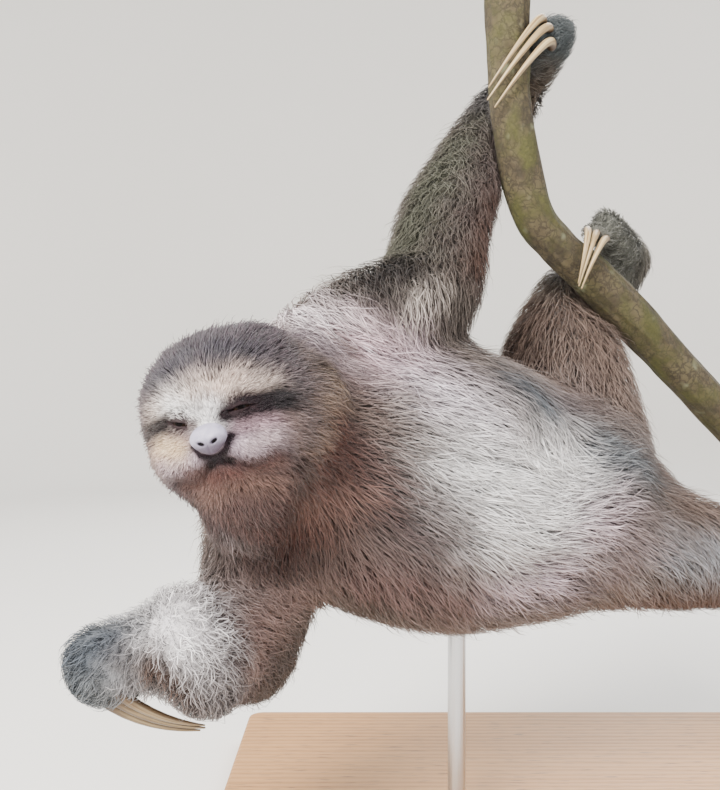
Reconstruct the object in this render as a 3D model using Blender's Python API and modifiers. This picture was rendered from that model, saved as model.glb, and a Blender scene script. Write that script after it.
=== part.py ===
"""A brown-throated three-toed sloth at life size, hanging from a bent stem by one hand and both hind feet.

Metres, +Z up. The origin is the centre of the display base's underside. +X runs from the sloth's head
towards its rump, and -Y is the side that its face and belly look to. The solids have the outline of the
coat, out to the tips of the hair. The coat's form is lofted and fused whole, then parted with thin gaps.
"""

import math

import bmesh
import bpy
import numpy as np
from mathutils import Matrix, Vector

# Gap between two solids that touch, and the grain of the fused coat form.
GAP = 0.0003
VOXEL = 0.0036
BODY_FACES_KEPT, HEAD_FACES_KEPT = 0.027, 0.085

# Display stand: an oak board and two steel rods.
BASE_LENGTH, BASE_DEPTH, BASE_THICKNESS = 0.60, 0.34, 0.022
BASE_CORNER, BASE_CHAMFER = 0.012, 0.003
ROD_RADIUS = 0.006
FLANGE_RADIUS, FLANGE_THICKNESS = 0.020, 0.004
BODY_ROD_AT = Vector((-0.135, -0.045, 0.0))
BODY_ROD_TOP = 0.185
STEM_ROD_AT = Vector((0.256, 0.143, 0.0))
STEM_ROD_TOP = 0.143

# The stem that the sloth holds: its centre line from the top cut to the lower cut, and its girth.
STEM_LINE = [
    (-0.099, -0.025, 0.630),
    (-0.098, -0.025, 0.600),
    (-0.097, -0.025, 0.543),
    (-0.094, -0.024, 0.500),
    (-0.079, -0.012, 0.443),
    (-0.058, 0.000, 0.418),
    (-0.030, 0.015, 0.398),
    (0.015, 0.040, 0.362),
    (0.061, 0.062, 0.321),
    (0.161, 0.105, 0.229),
    (0.236, 0.135, 0.161),
    (0.284, 0.150, 0.117),
]
STEM_RADIUS_TOP, STEM_RADIUS_FOOT = 0.0155, 0.0170

# Joints of the body.
HEAD = Vector((-0.2695, -0.180, 0.299))
NAPE = Vector((-0.250, -0.142, 0.290))
CHEST = Vector((-0.236, -0.105, 0.274))
SHOULDER_L = Vector((-0.222, -0.105, 0.333))
ELBOW_L = Vector((-0.155, -0.050, 0.380))
WRIST_L = Vector((-0.095, 0.025, 0.518))
KNUCKLE_L = Vector((-0.060, 0.000, 0.571))
SHOULDER_R = Vector((-0.255, -0.120, 0.225))
ELBOW_R = Vector((-0.270, -0.066, 0.139))
WRIST_R = Vector((-0.293, -0.177, 0.183))
KNUCKLE_R = Vector((-0.341, -0.172, 0.168))
HIP_L = Vector((-0.034, 0.008, 0.266))
KNEE_L = Vector((-0.030, 0.060, 0.382))
ANKLE_L = Vector((0.027, 0.107, 0.424))
TOE_L = Vector((-0.011, 0.042, 0.440))
HIP_R = Vector((-0.021, -0.005, 0.208))
KNEE_R = Vector((0.079, 0.013, 0.188))
ANKLE_R = Vector((0.158, 0.064, 0.136))
TOE_R = Vector((0.180, 0.086, 0.186))
TAIL_ROOT = Vector((0.010, 0.045, 0.238))
TAIL_TIP = Vector((0.034, 0.064, 0.251))

# The head's own axes: it looks at -Y, and its crown leans towards -X.
HEAD_YAW, HEAD_PITCH, HEAD_ROLL = math.radians(-5), math.radians(3), math.radians(15.5)
NOSE_AT, NOSE_SIZE = (0.0, 0.0505, -0.0125), (0.0100, 0.0060, 0.0080)
EYE_SIDE, EYE_FORWARD, EYE_UP = 0.0152, 0.0343, -0.0005
EYE_RADIUS = 0.0052


def clear_scene():
    for obj in list(bpy.data.objects):
        bpy.data.objects.remove(obj, do_unlink=True)


def collection(name, rendered=True):
    made = bpy.data.collections.new(name)
    made.hide_render = not rendered
    bpy.context.scene.collection.children.link(made)
    return made


def material(name, colour, roughness, metallic=0.0):
    made = bpy.data.materials.new(name)
    made.use_nodes = True
    shader = made.node_tree.nodes["Principled BSDF"]
    shader.inputs["Base Color"].default_value = (*colour, 1.0)
    shader.inputs["Roughness"].default_value = roughness
    shader.inputs["Metallic"].default_value = metallic
    return made


def put(name, mesh, group, finish=None):
    """An object with that mesh in that collection."""
    obj = bpy.data.objects.new(name, mesh)
    group.objects.link(obj)
    if finish is not None:
        mesh.materials.clear()
        mesh.materials.append(finish)
    return obj


def as_mesh(obj):
    """The object's evaluated mesh, in world space, with its loose caps welded."""
    bpy.context.view_layer.update()
    graph = bpy.context.evaluated_depsgraph_get()
    mesh = bpy.data.meshes.new_from_object(obj.evaluated_get(graph))
    mesh.transform(obj.matrix_world)
    work = bmesh.new()
    work.from_mesh(mesh)
    bmesh.ops.remove_doubles(work, verts=work.verts, dist=0.00002)
    work.to_mesh(mesh)
    work.free()
    return mesh


def drop(obj):
    bpy.data.objects.remove(obj, do_unlink=True)


def along(points, steps):
    """Points on a smooth curve through the given ones (Catmull-Rom), steps to each span."""
    given = np.array(points, float)
    padded = np.vstack([2 * given[0] - given[1], given, 2 * given[-1] - given[-2]])
    t = np.linspace(0, 1, steps, endpoint=False)[:, None]
    spans = []
    for a, b, c, d in zip(padded, padded[1:], padded[2:], padded[3:]):
        spans.append(
            0.5 * (2 * b + (c - a) * t + (2 * a - 5 * b + 4 * c - d) * t**2 + (3 * b - a - 3 * c + d) * t**3)
        )
    return np.vstack([*spans, given[-1:]])


def loft(name, stations, group, up=(0, 0, 1), sides=20, steps=5):
    """A closed form with oval sections along a smooth path, and round ends.

    Each station is (point, half width, half height); height is measured towards up."""
    rows = along([[*point, wide, high] for point, wide, high in stations], steps)
    line, half = rows[:, :3], rows[:, 3:]
    way = np.gradient(line, axis=0)
    way /= np.linalg.norm(way, axis=1)[:, None]
    round_end = np.radians([80, 55, 28])
    line = np.vstack(
        [
            [line[0] - way[0] * half[0].mean() * math.sin(a) for a in round_end],
            line,
            [line[-1] + way[-1] * half[-1].mean() * math.sin(a) for a in round_end[::-1]],
        ]
    )
    half = np.vstack(
        [
            [half[0] * math.cos(a) for a in round_end],
            half,
            [half[-1] * math.cos(a) for a in round_end[::-1]],
        ]
    )
    way = np.vstack([[way[0]] * len(round_end), way, [way[-1]] * len(round_end)])
    across = np.cross(way, np.array(up, float))
    across /= np.linalg.norm(across, axis=1)[:, None]
    top = np.cross(across, way)
    work = bmesh.new()
    rings = []
    for centre, (wide, high), side, rise in zip(line, half, across, top):
        ring = []
        for i in range(sides):
            turn = 2 * math.pi * i / sides
            ring.append(work.verts.new(centre + side * wide * math.cos(turn) + rise * high * math.sin(turn)))
        rings.append(ring)
    for first, second in zip(rings, rings[1:]):
        for i in range(sides):
            j = (i + 1) % sides
            work.faces.new((first[i], first[j], second[j], second[i]))
    work.faces.new(rings[0])
    work.faces.new(rings[-1])
    bmesh.ops.recalc_face_normals(work, faces=work.faces)
    mesh = bpy.data.meshes.new(name)
    work.to_mesh(mesh)
    work.free()
    return put(name, mesh, group)


def ball(name, centre, radii, group, turn=None, segments=24):
    """An ellipsoid from a sphere primitive; turn is a 3x3 matrix for its axes."""
    mesh = bpy.data.meshes.new(name)
    work = bmesh.new()
    bmesh.ops.create_uvsphere(work, u_segments=segments, v_segments=segments // 2, radius=1)
    bmesh.ops.transform(work, matrix=Matrix.Diagonal((*radii, 1)), verts=work.verts)
    if turn is not None:
        bmesh.ops.transform(work, matrix=turn.to_4x4(), verts=work.verts)
    bmesh.ops.translate(work, vec=Vector(centre), verts=work.verts)
    work.to_mesh(mesh)
    work.free()
    return put(name, mesh, group)


def drum(name, start, end, radius, group, sides=18):
    """A cylinder primitive between two points."""
    start, end = Vector(start), Vector(end)
    mesh = bpy.data.meshes.new(name)
    work = bmesh.new()
    length = (end - start).length
    bmesh.ops.create_cone(
        work, cap_ends=True, segments=sides, radius1=radius, radius2=radius, depth=length
    )
    turn = (end - start).to_track_quat("Z", "Y").to_matrix().to_4x4()
    bmesh.ops.transform(work, matrix=turn, verts=work.verts)
    bmesh.ops.translate(work, vec=(start + end) / 2, verts=work.verts)
    work.to_mesh(mesh)
    work.free()
    return put(name, mesh, group)


def combined(obj, other, operation):
    """obj's mesh after one exact Boolean with other, as a new mesh."""
    cut = obj.modifiers.new("cut", "BOOLEAN")
    cut.operation = operation
    cut.solver = "EXACT"
    cut.object = other
    mesh = as_mesh(obj)
    obj.modifiers.remove(cut)
    return mesh


def without(obj, *others):
    """obj, with each of the others cut out of it."""
    for other in others:
        obj.data = combined(obj, other, "DIFFERENCE")
    return obj


def biggest_island(mesh):
    """Keeps the mesh's largest connected body and drops crumbs that a cut left."""
    work = bmesh.new()
    work.from_mesh(mesh)
    left, islands = set(work.verts), []
    while left:
        front, island = [left.pop()], set()
        while front:
            vertex = front.pop()
            island.add(vertex)
            for edge in vertex.link_edges:
                other = edge.other_vert(vertex)
                if other in left:
                    left.remove(other)
                    front.append(other)
        islands.append(island)
    islands.sort(key=len)
    for crumb in islands[:-1]:
        bmesh.ops.delete(work, geom=list(crumb), context="VERTS")
    work.to_mesh(mesh)
    work.free()
    return mesh


def head_axes():
    """The head's frame as a matrix whose columns are its right, forward and up."""
    forward = Vector(
        (
            math.sin(HEAD_YAW) * math.cos(HEAD_PITCH),
            -math.cos(HEAD_YAW) * math.cos(HEAD_PITCH),
            math.sin(HEAD_PITCH),
        )
    )
    rolled = Vector((-math.sin(HEAD_ROLL), 0, math.cos(HEAD_ROLL)))
    up = (rolled - forward * rolled.dot(forward)).normalized()
    return Matrix((forward.cross(up), forward, up)).transposed()


HEAD_AXES = head_axes()


def in_head(left, forward, up):
    """A point given in the head's own frame, in world space."""
    return HEAD + HEAD_AXES @ Vector((-left, forward, up))


def lerp(a, b, share):
    return a + (b - a) * share


# The coat's form.


def head_forms(group):
    """Skull, cheeks, brow, short muzzle and chin, under their short hair."""
    ball("form_crown", in_head(0, -0.003, 0.006), (0.0485, 0.0440, 0.0440), group, HEAD_AXES)
    ball("form_jowls", in_head(0, 0.000, -0.014), (0.0465, 0.0400, 0.0370), group, HEAD_AXES)
    ball("form_brow", in_head(0, 0.023, 0.012), (0.030, 0.0185, 0.018), group, HEAD_AXES)
    for side in (-1, 1):
        cheek = in_head(0.019 * side, 0.026, -0.017)
        ball(f"form_cheek{side}", cheek, (0.019, 0.016, 0.015), group, HEAD_AXES)
    muzzle = [
        (in_head(0, 0.022, -0.010), 0.0200, 0.0170),
        (in_head(0, 0.036, -0.012), 0.0135, 0.0120),
        (in_head(0, 0.0455, -0.0135), 0.0108, 0.0098),
    ]
    loft("form_muzzle", muzzle, group, up=HEAD_AXES.col[2])
    ball("form_chin", in_head(0, 0.031, -0.026), (0.0155, 0.0135, 0.0105), group, HEAD_AXES)
    neck = [
        (lerp(HEAD, NAPE, 0.6), 0.044, 0.045),
        (NAPE, 0.048, 0.054),
        (CHEST, 0.056, 0.066),
    ]
    loft("form_neck", neck, group)
    throat = [(in_head(0.004, 0.002, -0.036), 0.030, 0.028), (Vector((-0.260, -0.127, 0.240)), 0.032, 0.032)]
    loft("form_throat", throat, group, up=(1, 0, 0))


def trunk_forms(group):
    trunk = [
        (CHEST, 0.062, 0.070),
        (Vector((-0.205, -0.085, 0.263)), 0.074, 0.086),
        (Vector((-0.140, -0.050, 0.248)), 0.080, 0.098),
        (Vector((-0.073, -0.015, 0.232)), 0.074, 0.083),
        (Vector((-0.024, 0.012, 0.223)), 0.060, 0.068),
        (Vector((-0.002, 0.026, 0.224)), 0.044, 0.050),
    ]
    loft("form_trunk", trunk, group, sides=28)
    loft("form_tail", [(TAIL_ROOT, 0.022, 0.020), (TAIL_TIP, 0.012, 0.011)], group, sides=14)


def arm_forms(group):
    left = [
        (SHOULDER_L, 0.046, 0.041),
        (lerp(SHOULDER_L, ELBOW_L, 0.5), 0.041, 0.041),
        (ELBOW_L + Vector((0.001, 0, -0.002)), 0.038, 0.039),
        (lerp(ELBOW_L, WRIST_L, 0.35) + Vector((-0.008, 0, 0)), 0.036, 0.037),
        (lerp(ELBOW_L, WRIST_L, 0.72) + Vector((-0.005, 0, 0)), 0.031, 0.032),
        (WRIST_L, 0.027, 0.028),
    ]
    loft("form_arm_left", left, group, up=(0, 1, 0))
    hand = [
        (WRIST_L, 0.026, 0.026),
        (lerp(WRIST_L, KNUCKLE_L, 0.5), 0.023, 0.021),
        (KNUCKLE_L, 0.0185, 0.0165),
    ]
    loft("form_hand_left", hand, group, up=(0.4, 1, 0))
    fringe = [(ELBOW_L + Vector((0.006, 0, 0)), 0.026, 0.026), (ELBOW_L + Vector((0.010, 0.0, -0.034)), 0.012, 0.012)]
    loft("form_elbow_fringe_left", fringe, group, up=(0, 1, 0))
    right = [
        (SHOULDER_R, 0.042, 0.042),
        (lerp(SHOULDER_R, ELBOW_R, 0.5), 0.036, 0.038),
        (ELBOW_R, 0.031, 0.031),
    ]
    loft("form_upper_arm_right", right, group, up=(0, 1, 0))
    forearm = [
        (ELBOW_R, 0.030, 0.030),
        (lerp(ELBOW_R, WRIST_R, 0.5), 0.033, 0.035),
        (lerp(ELBOW_R, WRIST_R, 0.85), 0.030, 0.032),
        (WRIST_R, 0.027, 0.029),
    ]
    loft("form_forearm_right", forearm, group)
    paw = [(WRIST_R, 0.024, 0.027), (lerp(WRIST_R, KNUCKLE_R, 0.6), 0.021, 0.024), (KNUCKLE_R, 0.017, 0.022)]
    loft("form_hand_right", paw, group)


def leg_forms(group):
    left = [
        (HIP_L, 0.050, 0.052),
        (lerp(HIP_L, KNEE_L, 0.5) + Vector((-0.013, 0, 0)), 0.054, 0.048),
        (KNEE_L, 0.039, 0.037),
    ]
    loft("form_thigh_left", left, group, up=(0, 1, 0))
    shank = [
        (KNEE_L, 0.034, 0.034),
        (lerp(KNEE_L, ANKLE_L, 0.5) + Vector((0, 0.004, -0.004)), 0.028, 0.029),
        (ANKLE_L, 0.022, 0.022),
    ]
    loft("form_shank_left", shank, group, up=(0, 1, 0))
    foot = [(ANKLE_L, 0.021, 0.021), (lerp(ANKLE_L, TOE_L, 0.5), 0.023, 0.018), (TOE_L, 0.020, 0.014)]
    loft("form_foot_left", foot, group, up=(0, -1, 0.4))
    right = [
        (HIP_R, 0.054, 0.054),
        (lerp(HIP_R, KNEE_R, 0.5), 0.046, 0.046),
        (KNEE_R, 0.037, 0.038),
        (lerp(KNEE_R, ANKLE_R, 0.55), 0.031, 0.032),
        (ANKLE_R, 0.024, 0.024),
    ]
    loft("form_leg_right", right, group, up=(0, 1, 0))
    foot = [(ANKLE_R, 0.023, 0.022), (lerp(ANKLE_R, TOE_R, 0.5), 0.023, 0.018), (TOE_R, 0.019, 0.015)]
    loft("form_foot_right", foot, group, up=(0.3, -1, 0.3))


def fused(group):
    """All forms as one smooth closed mesh: once with the body's few faces, once with the head's finer ones."""
    work = bmesh.new()
    for obj in list(group.objects):
        work.from_mesh(obj.data)
        drop(obj)
    mesh = bpy.data.meshes.new("coat_form")
    work.to_mesh(mesh)
    work.free()
    coat = put("coat_form", mesh, group)
    shell = coat.modifiers.new("shell", "REMESH")
    shell.mode = "VOXEL"
    shell.voxel_size = VOXEL
    soften = coat.modifiers.new("soften", "SMOOTH")
    soften.factor = 0.5
    soften.iterations = 8
    fewer = coat.modifiers.new("fewer", "DECIMATE")
    made = []
    for kept in (BODY_FACES_KEPT, HEAD_FACES_KEPT):
        fewer.ratio = kept
        made.append(put("coat", as_mesh(coat), group))
    drop(coat)
    return made


def part_coat(coat, fine_coat, group, helpers, finish):
    """Parts the coat into nodes with thin gaps, limb ends first.

    Each row is (node, inner end, outer end, radius): all of the coat inside that drum that no
    earlier row has taken. What is left at the end is the trunk."""
    neck_way = (HEAD - NAPE).normalized()
    rows = [
        ("hand_left", lerp(WRIST_L, KNUCKLE_L, 0.20), lerp(WRIST_L, KNUCKLE_L, 1.8), 0.050),
        ("forearm_left", lerp(ELBOW_L, WRIST_L, 0.10), lerp(ELBOW_L, WRIST_L, 1.3), 0.064),
        ("upper_arm_left", lerp(SHOULDER_L, ELBOW_L, 0.22), lerp(SHOULDER_L, ELBOW_L, 1.7), 0.0480),
        ("hand_right", lerp(WRIST_R, KNUCKLE_R, 0.15), lerp(WRIST_R, KNUCKLE_R, 2.0), 0.045),
        ("forearm_right", lerp(ELBOW_R, WRIST_R, 0.16), lerp(ELBOW_R, WRIST_R, 1.5), 0.0420),
        ("upper_arm_right", lerp(SHOULDER_R, ELBOW_R, 0.30), lerp(SHOULDER_R, ELBOW_R, 1.6), 0.060),
        ("foot_left", lerp(ANKLE_L, TOE_L, 0.15), lerp(ANKLE_L, TOE_L, 2.0), 0.046),
        ("shank_left", lerp(KNEE_L, ANKLE_L, 0.16), lerp(KNEE_L, ANKLE_L, 1.5), 0.055),
        ("thigh_left", lerp(HIP_L, KNEE_L, 0.34), lerp(HIP_L, KNEE_L, 1.7), 0.075),
        ("foot_right", lerp(ANKLE_R, TOE_R, 0.05), lerp(ANKLE_R, TOE_R, 2.0), 0.045),
        ("shank_right", lerp(KNEE_R, ANKLE_R, 0.10), lerp(KNEE_R, ANKLE_R, 1.5), 0.055),
        ("thigh_right", lerp(HIP_R, KNEE_R, 0.34), lerp(HIP_R, KNEE_R, 1.7), 0.070),
        ("tail", lerp(TAIL_ROOT, TAIL_TIP, 0.42), lerp(TAIL_ROOT, TAIL_TIP, 2.0), 0.030),
        ("head", HEAD - neck_way * 0.022, HEAD + neck_way * 0.090, 0.078),
        ("neck", HEAD - neck_way * 0.060, HEAD - neck_way * 0.015, 0.064),
    ]
    nodes = {}
    for name, start, end, radius in rows:
        source = fine_coat if name == "head" else coat
        inner = drum("territory", start, end, radius, helpers)
        outward = (end - start).normalized() * GAP
        outer = drum("territory_cut", start - outward, end + outward, radius + GAP, helpers)
        nodes[name] = put(name, biggest_island(combined(source, inner, "INTERSECT")), group, finish)
        without(coat, outer)
        without(fine_coat, outer)
        drop(inner)
        drop(outer)
    nodes["trunk"] = put("trunk", biggest_island(coat.data.copy()), group, finish)
    drop(coat)
    drop(fine_coat)
    return nodes


# Bare parts.


def claw_girth(count, root_radius):
    t = np.linspace(0, 1, count)
    return np.maximum(root_radius * (1 - 0.85 * t**1.6), 0.0006)


def stem_line(steps):
    """Centre line and radii of the stem."""
    line = along(STEM_LINE, steps)
    return line, np.linspace(STEM_RADIUS_TOP, STEM_RADIUS_FOOT, len(line))


def hooked(root, point, bow, count, root_radius):
    """A claw's line from root to point. Its bow is deepened until the claw lies clear round the stem."""
    t = np.linspace(0, 1, count)[:, None]
    chord = np.array(root) + (np.array(point) - np.array(root)) * t
    axis, girth = stem_line(24)
    room = claw_girth(count, root_radius) + 3 * GAP
    for depth in np.arange(0.3, 2.5, 0.05):
        line = chord + np.array(bow) * depth * 4 * t * (1 - t)
        clear = (np.linalg.norm(line[:, None] - axis[None], axis=2) - girth[None]).min(axis=1)
        if (clear >= room).all():
            break
    return line


def claw(name, base, tip, bow, root_radius, group, finish, grow=0.0):
    """A tapering horn hook from its root to its point; bow is how far its middle stands off the chord."""
    count = 9
    places = hooked(base, tip, bow, count, root_radius)
    curve = bpy.data.curves.new(name, "CURVE")
    curve.dimensions = "3D"
    curve.bevel_depth = 1.0
    curve.bevel_resolution = 1
    curve.use_fill_caps = True
    line = curve.splines.new("POLY")
    line.points.add(count - 1)
    for point, place, girth in zip(line.points, places, claw_girth(count, root_radius)):
        point.co = (*place, 1.0)
        point.radius = girth + grow
    obj = put(name, curve, group)
    mesh = as_mesh(obj)
    drop(obj)
    return put(name, mesh, group, finish)


def claw_rows():
    """(hand or foot, claw, root, point, bow, root radius) of all twelve claws."""
    rows = []
    grips = {
        "hand_left": (
            [(-0.0722, -0.018, 0.5705), (-0.0673, -0.019, 0.5642), (-0.0659, -0.020, 0.5537)],
            [(-0.1129, -0.042, 0.5181), (-0.1138, -0.042, 0.5096), (-0.1088, -0.042, 0.5046)],
            (0.010, -0.014, 0.017),
            0.0037,
        ),
        "hand_right": (
            [(-0.326, -0.182, 0.1560), (-0.330, -0.176, 0.1510), (-0.334, -0.170, 0.1460)],
            [(-0.2840, -0.156, 0.1250), (-0.2845, -0.149, 0.1210), (-0.2885, -0.142, 0.1170)],
            (-0.005, -0.003, -0.010),
            0.0036,
        ),
        "foot_left": (
            [(-0.0330, 0.012, 0.4310), (-0.0257, 0.013, 0.4292), (-0.0183, 0.014, 0.4251)],
            [(-0.0446, -0.010, 0.3896), (-0.0440, -0.009, 0.3878), (-0.0418, -0.008, 0.3861)],
            (0.000, -0.016, 0.012),
            0.0031,
        ),
        "foot_right": (
            [(0.170, 0.083, 0.199), (0.179, 0.087, 0.193), (0.188, 0.091, 0.186)],
            [(0.186, 0.131, 0.227), (0.194, 0.134, 0.219), (0.202, 0.138, 0.211)],
            (0.007, -0.015, 0.024),
            0.0031,
        ),
    }
    for owner, (roots, points, bow, radius) in grips.items():
        for number, (root, point) in enumerate(zip(roots, points), 1):
            rows.append((owner, f"claw_{owner}_{number}", root, point, bow, radius))
    return rows


def add_claws(nodes, group, helpers, finish):
    for owner, name, root, point, bow, radius in claw_rows():
        claw(name, root, point, bow, radius, group, finish)
        cutter = claw("claw_pocket", root, point, bow, radius, helpers, None, grow=GAP * 2)
        without(nodes[owner], cutter)
        drop(cutter)


def add_face(nodes, group, helpers, eye_finish, nose_finish):
    """Eyeballs and the bare nose pad, each in its own pocket of the head."""
    for side, word in ((1, "left"), (-1, "right")):
        at = in_head(EYE_SIDE * side, EYE_FORWARD, EYE_UP)
        eye = ball(f"eye_{word}", at, [EYE_RADIUS] * 3, group, segments=12)
        eye.data.materials.append(eye_finish)
        pocket = ball("pocket", at, [EYE_RADIUS + GAP] * 3, helpers, segments=12)
        without(nodes["head"], pocket)
        drop(pocket)
    at = in_head(*NOSE_AT)
    nose = ball("nose", at, NOSE_SIZE, group, HEAD_AXES, segments=14)
    nose.data.materials.append(nose_finish)
    pocket = ball("pocket", at, [s + GAP for s in NOSE_SIZE], helpers, HEAD_AXES, segments=14)
    without(nodes["head"], pocket)
    drop(pocket)


# Stem and stand.


def stem_solid(name, group, finish, grow=0.0):
    curve = bpy.data.curves.new(name, "CURVE")
    curve.dimensions = "3D"
    curve.bevel_depth = 1.0
    curve.bevel_resolution = 2
    curve.use_fill_caps = True
    places, girths = stem_line(3)
    line = curve.splines.new("POLY")
    line.points.add(len(places) - 1)
    for point, place, girth in zip(line.points, places, girths):
        point.co = (*place, 1.0)
        point.radius = girth + grow
    obj = put(name, curve, group)
    mesh = as_mesh(obj)
    drop(obj)
    return put(name, mesh, group, finish)


def rod(name, at, top, group, finish, grow=0.0):
    """A round rod that stands on the board, with a flange at its foot."""
    foot = Vector((at.x, at.y, BASE_THICKNESS + GAP))
    shaft = drum(name, foot, Vector((at.x, at.y, top + grow)), ROD_RADIUS + grow, group, sides=20)
    if grow:
        return shaft
    flange = drum("flange", foot, foot + Vector((0, 0, FLANGE_THICKNESS)), FLANGE_RADIUS, group, sides=28)
    shaft.data = combined(shaft, flange, "UNION")
    drop(flange)
    shaft.data.materials.clear()
    shaft.data.materials.append(finish)
    return shaft


def board(group, finish):
    mesh = bpy.data.meshes.new("stand_base")
    work = bmesh.new()
    bmesh.ops.create_cube(work, size=1)
    bmesh.ops.transform(
        work, matrix=Matrix.Diagonal((BASE_LENGTH, BASE_DEPTH, BASE_THICKNESS, 1)), verts=work.verts
    )
    bmesh.ops.translate(work, vec=(0, 0, BASE_THICKNESS / 2), verts=work.verts)
    upright = [e for e in work.edges if abs(e.verts[0].co.z - e.verts[1].co.z) > BASE_THICKNESS / 2]
    bmesh.ops.bevel(work, geom=upright, offset=BASE_CORNER, segments=4, affect="EDGES", profile=0.5)
    rim = [e for e in work.edges if min(v.co.z for v in e.verts) > BASE_THICKNESS - 1e-6]
    rim = [e for e in rim if len(e.link_faces) == 2 and any(abs(f.normal.z) < 0.5 for f in e.link_faces)]
    bmesh.ops.bevel(work, geom=rim, offset=BASE_CHAMFER, segments=2, affect="EDGES", profile=0.5)
    work.to_mesh(mesh)
    work.free()
    return put("stand_base", mesh, group, finish)


def main():
    clear_scene()
    sloth = collection("three_toed_sloth")
    forms = collection("forms", rendered=False)
    helpers = collection("cutters", rendered=False)
    coat_finish = material("grey_brown_coat", (0.20, 0.145, 0.115), 0.85)
    claw_finish = material("claw_horn", (0.55, 0.42, 0.24), 0.45)
    eye_finish = material("dark_eye", (0.02, 0.012, 0.008), 0.08)
    nose_finish = material("nose_leather", (0.09, 0.07, 0.07), 0.45)
    bark_finish = material("mossy_bark", (0.20, 0.19, 0.09), 0.9)
    oak_finish = material("oiled_oak", (0.30, 0.18, 0.09), 0.5)
    steel_finish = material("brushed_steel", (0.55, 0.55, 0.56), 0.35, metallic=1.0)

    head_forms(forms)
    trunk_forms(forms)
    arm_forms(forms)
    leg_forms(forms)
    coat, fine_coat = fused(forms)
    wide_stem = stem_solid("stem_clearance", helpers, None, grow=GAP * 2)
    wide_rod = rod("rod_clearance", BODY_ROD_AT, BODY_ROD_TOP, helpers, None, grow=GAP)
    without(coat, wide_stem, wide_rod)
    nodes = part_coat(coat, fine_coat, sloth, helpers, coat_finish)
    add_claws(nodes, sloth, helpers, claw_finish)
    add_face(nodes, sloth, helpers, eye_finish, nose_finish)

    stem = stem_solid("perch_stem", sloth, bark_finish)
    rod("stand_rod_body", BODY_ROD_AT, BODY_ROD_TOP, sloth, steel_finish)
    rod("stand_rod_stem", STEM_ROD_AT, STEM_ROD_TOP, sloth, steel_finish)
    without(stem, rod("rod_clearance", STEM_ROD_AT, STEM_ROD_TOP, helpers, None, grow=GAP))
    board(sloth, oak_finish)
    for cutter in list(helpers.objects):
        drop(cutter)


main()
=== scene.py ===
import math

import bmesh
import bpy
import numpy as np
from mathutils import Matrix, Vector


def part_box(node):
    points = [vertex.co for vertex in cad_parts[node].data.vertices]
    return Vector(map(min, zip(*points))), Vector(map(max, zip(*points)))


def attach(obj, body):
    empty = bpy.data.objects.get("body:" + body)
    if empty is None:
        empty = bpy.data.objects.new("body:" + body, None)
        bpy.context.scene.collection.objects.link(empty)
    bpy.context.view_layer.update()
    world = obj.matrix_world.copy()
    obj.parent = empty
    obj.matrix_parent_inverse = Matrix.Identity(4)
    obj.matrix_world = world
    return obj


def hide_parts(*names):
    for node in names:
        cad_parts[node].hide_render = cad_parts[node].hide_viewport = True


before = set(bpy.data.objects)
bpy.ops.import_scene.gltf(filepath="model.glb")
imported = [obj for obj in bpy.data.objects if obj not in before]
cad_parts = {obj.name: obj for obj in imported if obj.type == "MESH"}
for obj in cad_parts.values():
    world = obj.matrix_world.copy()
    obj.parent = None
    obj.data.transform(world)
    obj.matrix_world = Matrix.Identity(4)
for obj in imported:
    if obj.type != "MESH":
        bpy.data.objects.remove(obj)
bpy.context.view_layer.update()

import openvdb

# ---------------------------------------------------------------------------------------------
# The room. A pale matt floor sweeps up into a round wall, with one large soft lamp high in front on
# the left, a faint one on the right and one behind. The camera stands level with the sloth's
# chest and close to it, so that the near arm looks larger than the far one.

CAMERA_AT, CAMERA_LENS = (-0.20, -0.65, 0.31), 41.0
LAMPS_AIM = Vector((-0.1, 0.0, 0.3))
FLOOR_RADIUS, COVE_RADIUS, WALL_HEIGHT = 2.4, 0.9, 2.2
LAMPS = {
    "lamp_key": ((-1.25, -1.75, 1.75), 1.2, 215.0, "#fffaf4"),
    "lamp_fill": ((1.60, -1.50, 0.80), 1.6, 22.0, "#f2f3ff"),
    "lamp_back": ((0.60, 1.50, 1.70), 1.2, 56.0, "#ffffff"),
}


def linear(colour):
    """An sRGB hex colour as linear red, green and blue."""
    part = np.array([int(colour[i : i + 2], 16) for i in (1, 3, 5)]) / 255
    return np.where(part <= 0.04045, part / 12.92, ((part + 0.055) / 1.055) ** 2.4)


def rgba(colour):
    """An sRGB hex colour as linear red, green, blue and a full alpha."""
    return (*linear(colour), 1.0)


def add(finish, kind, inputs=(), **settings):
    """A shader node in that material or world. An input given a socket is linked to it, one given a node to
    that node's first output in use, and one given a hex colour or a value is set."""
    tree = finish.node_tree
    made = tree.nodes.new("ShaderNode" + kind)
    for name, value in settings.items():
        setattr(made, name, value)
    for name, value in dict(inputs).items():
        if isinstance(value, bpy.types.Node):
            value = next(output for output in value.outputs if output.enabled)
        if isinstance(value, bpy.types.NodeSocket):
            tree.links.new(value, made.inputs[name])
        else:
            made.inputs[name].default_value = rgba(value) if isinstance(value, str) else value
    return made


def finish_of(name):
    """An empty material of that name, which the caller gives its nodes."""
    made = bpy.data.materials.new(name)
    made.use_nodes = True
    made.node_tree.nodes.clear()
    return made


def placed(name, data):
    """An object of that name in the scene."""
    made = bpy.data.objects.new(name, data)
    bpy.context.scene.collection.objects.link(made)
    return made


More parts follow.
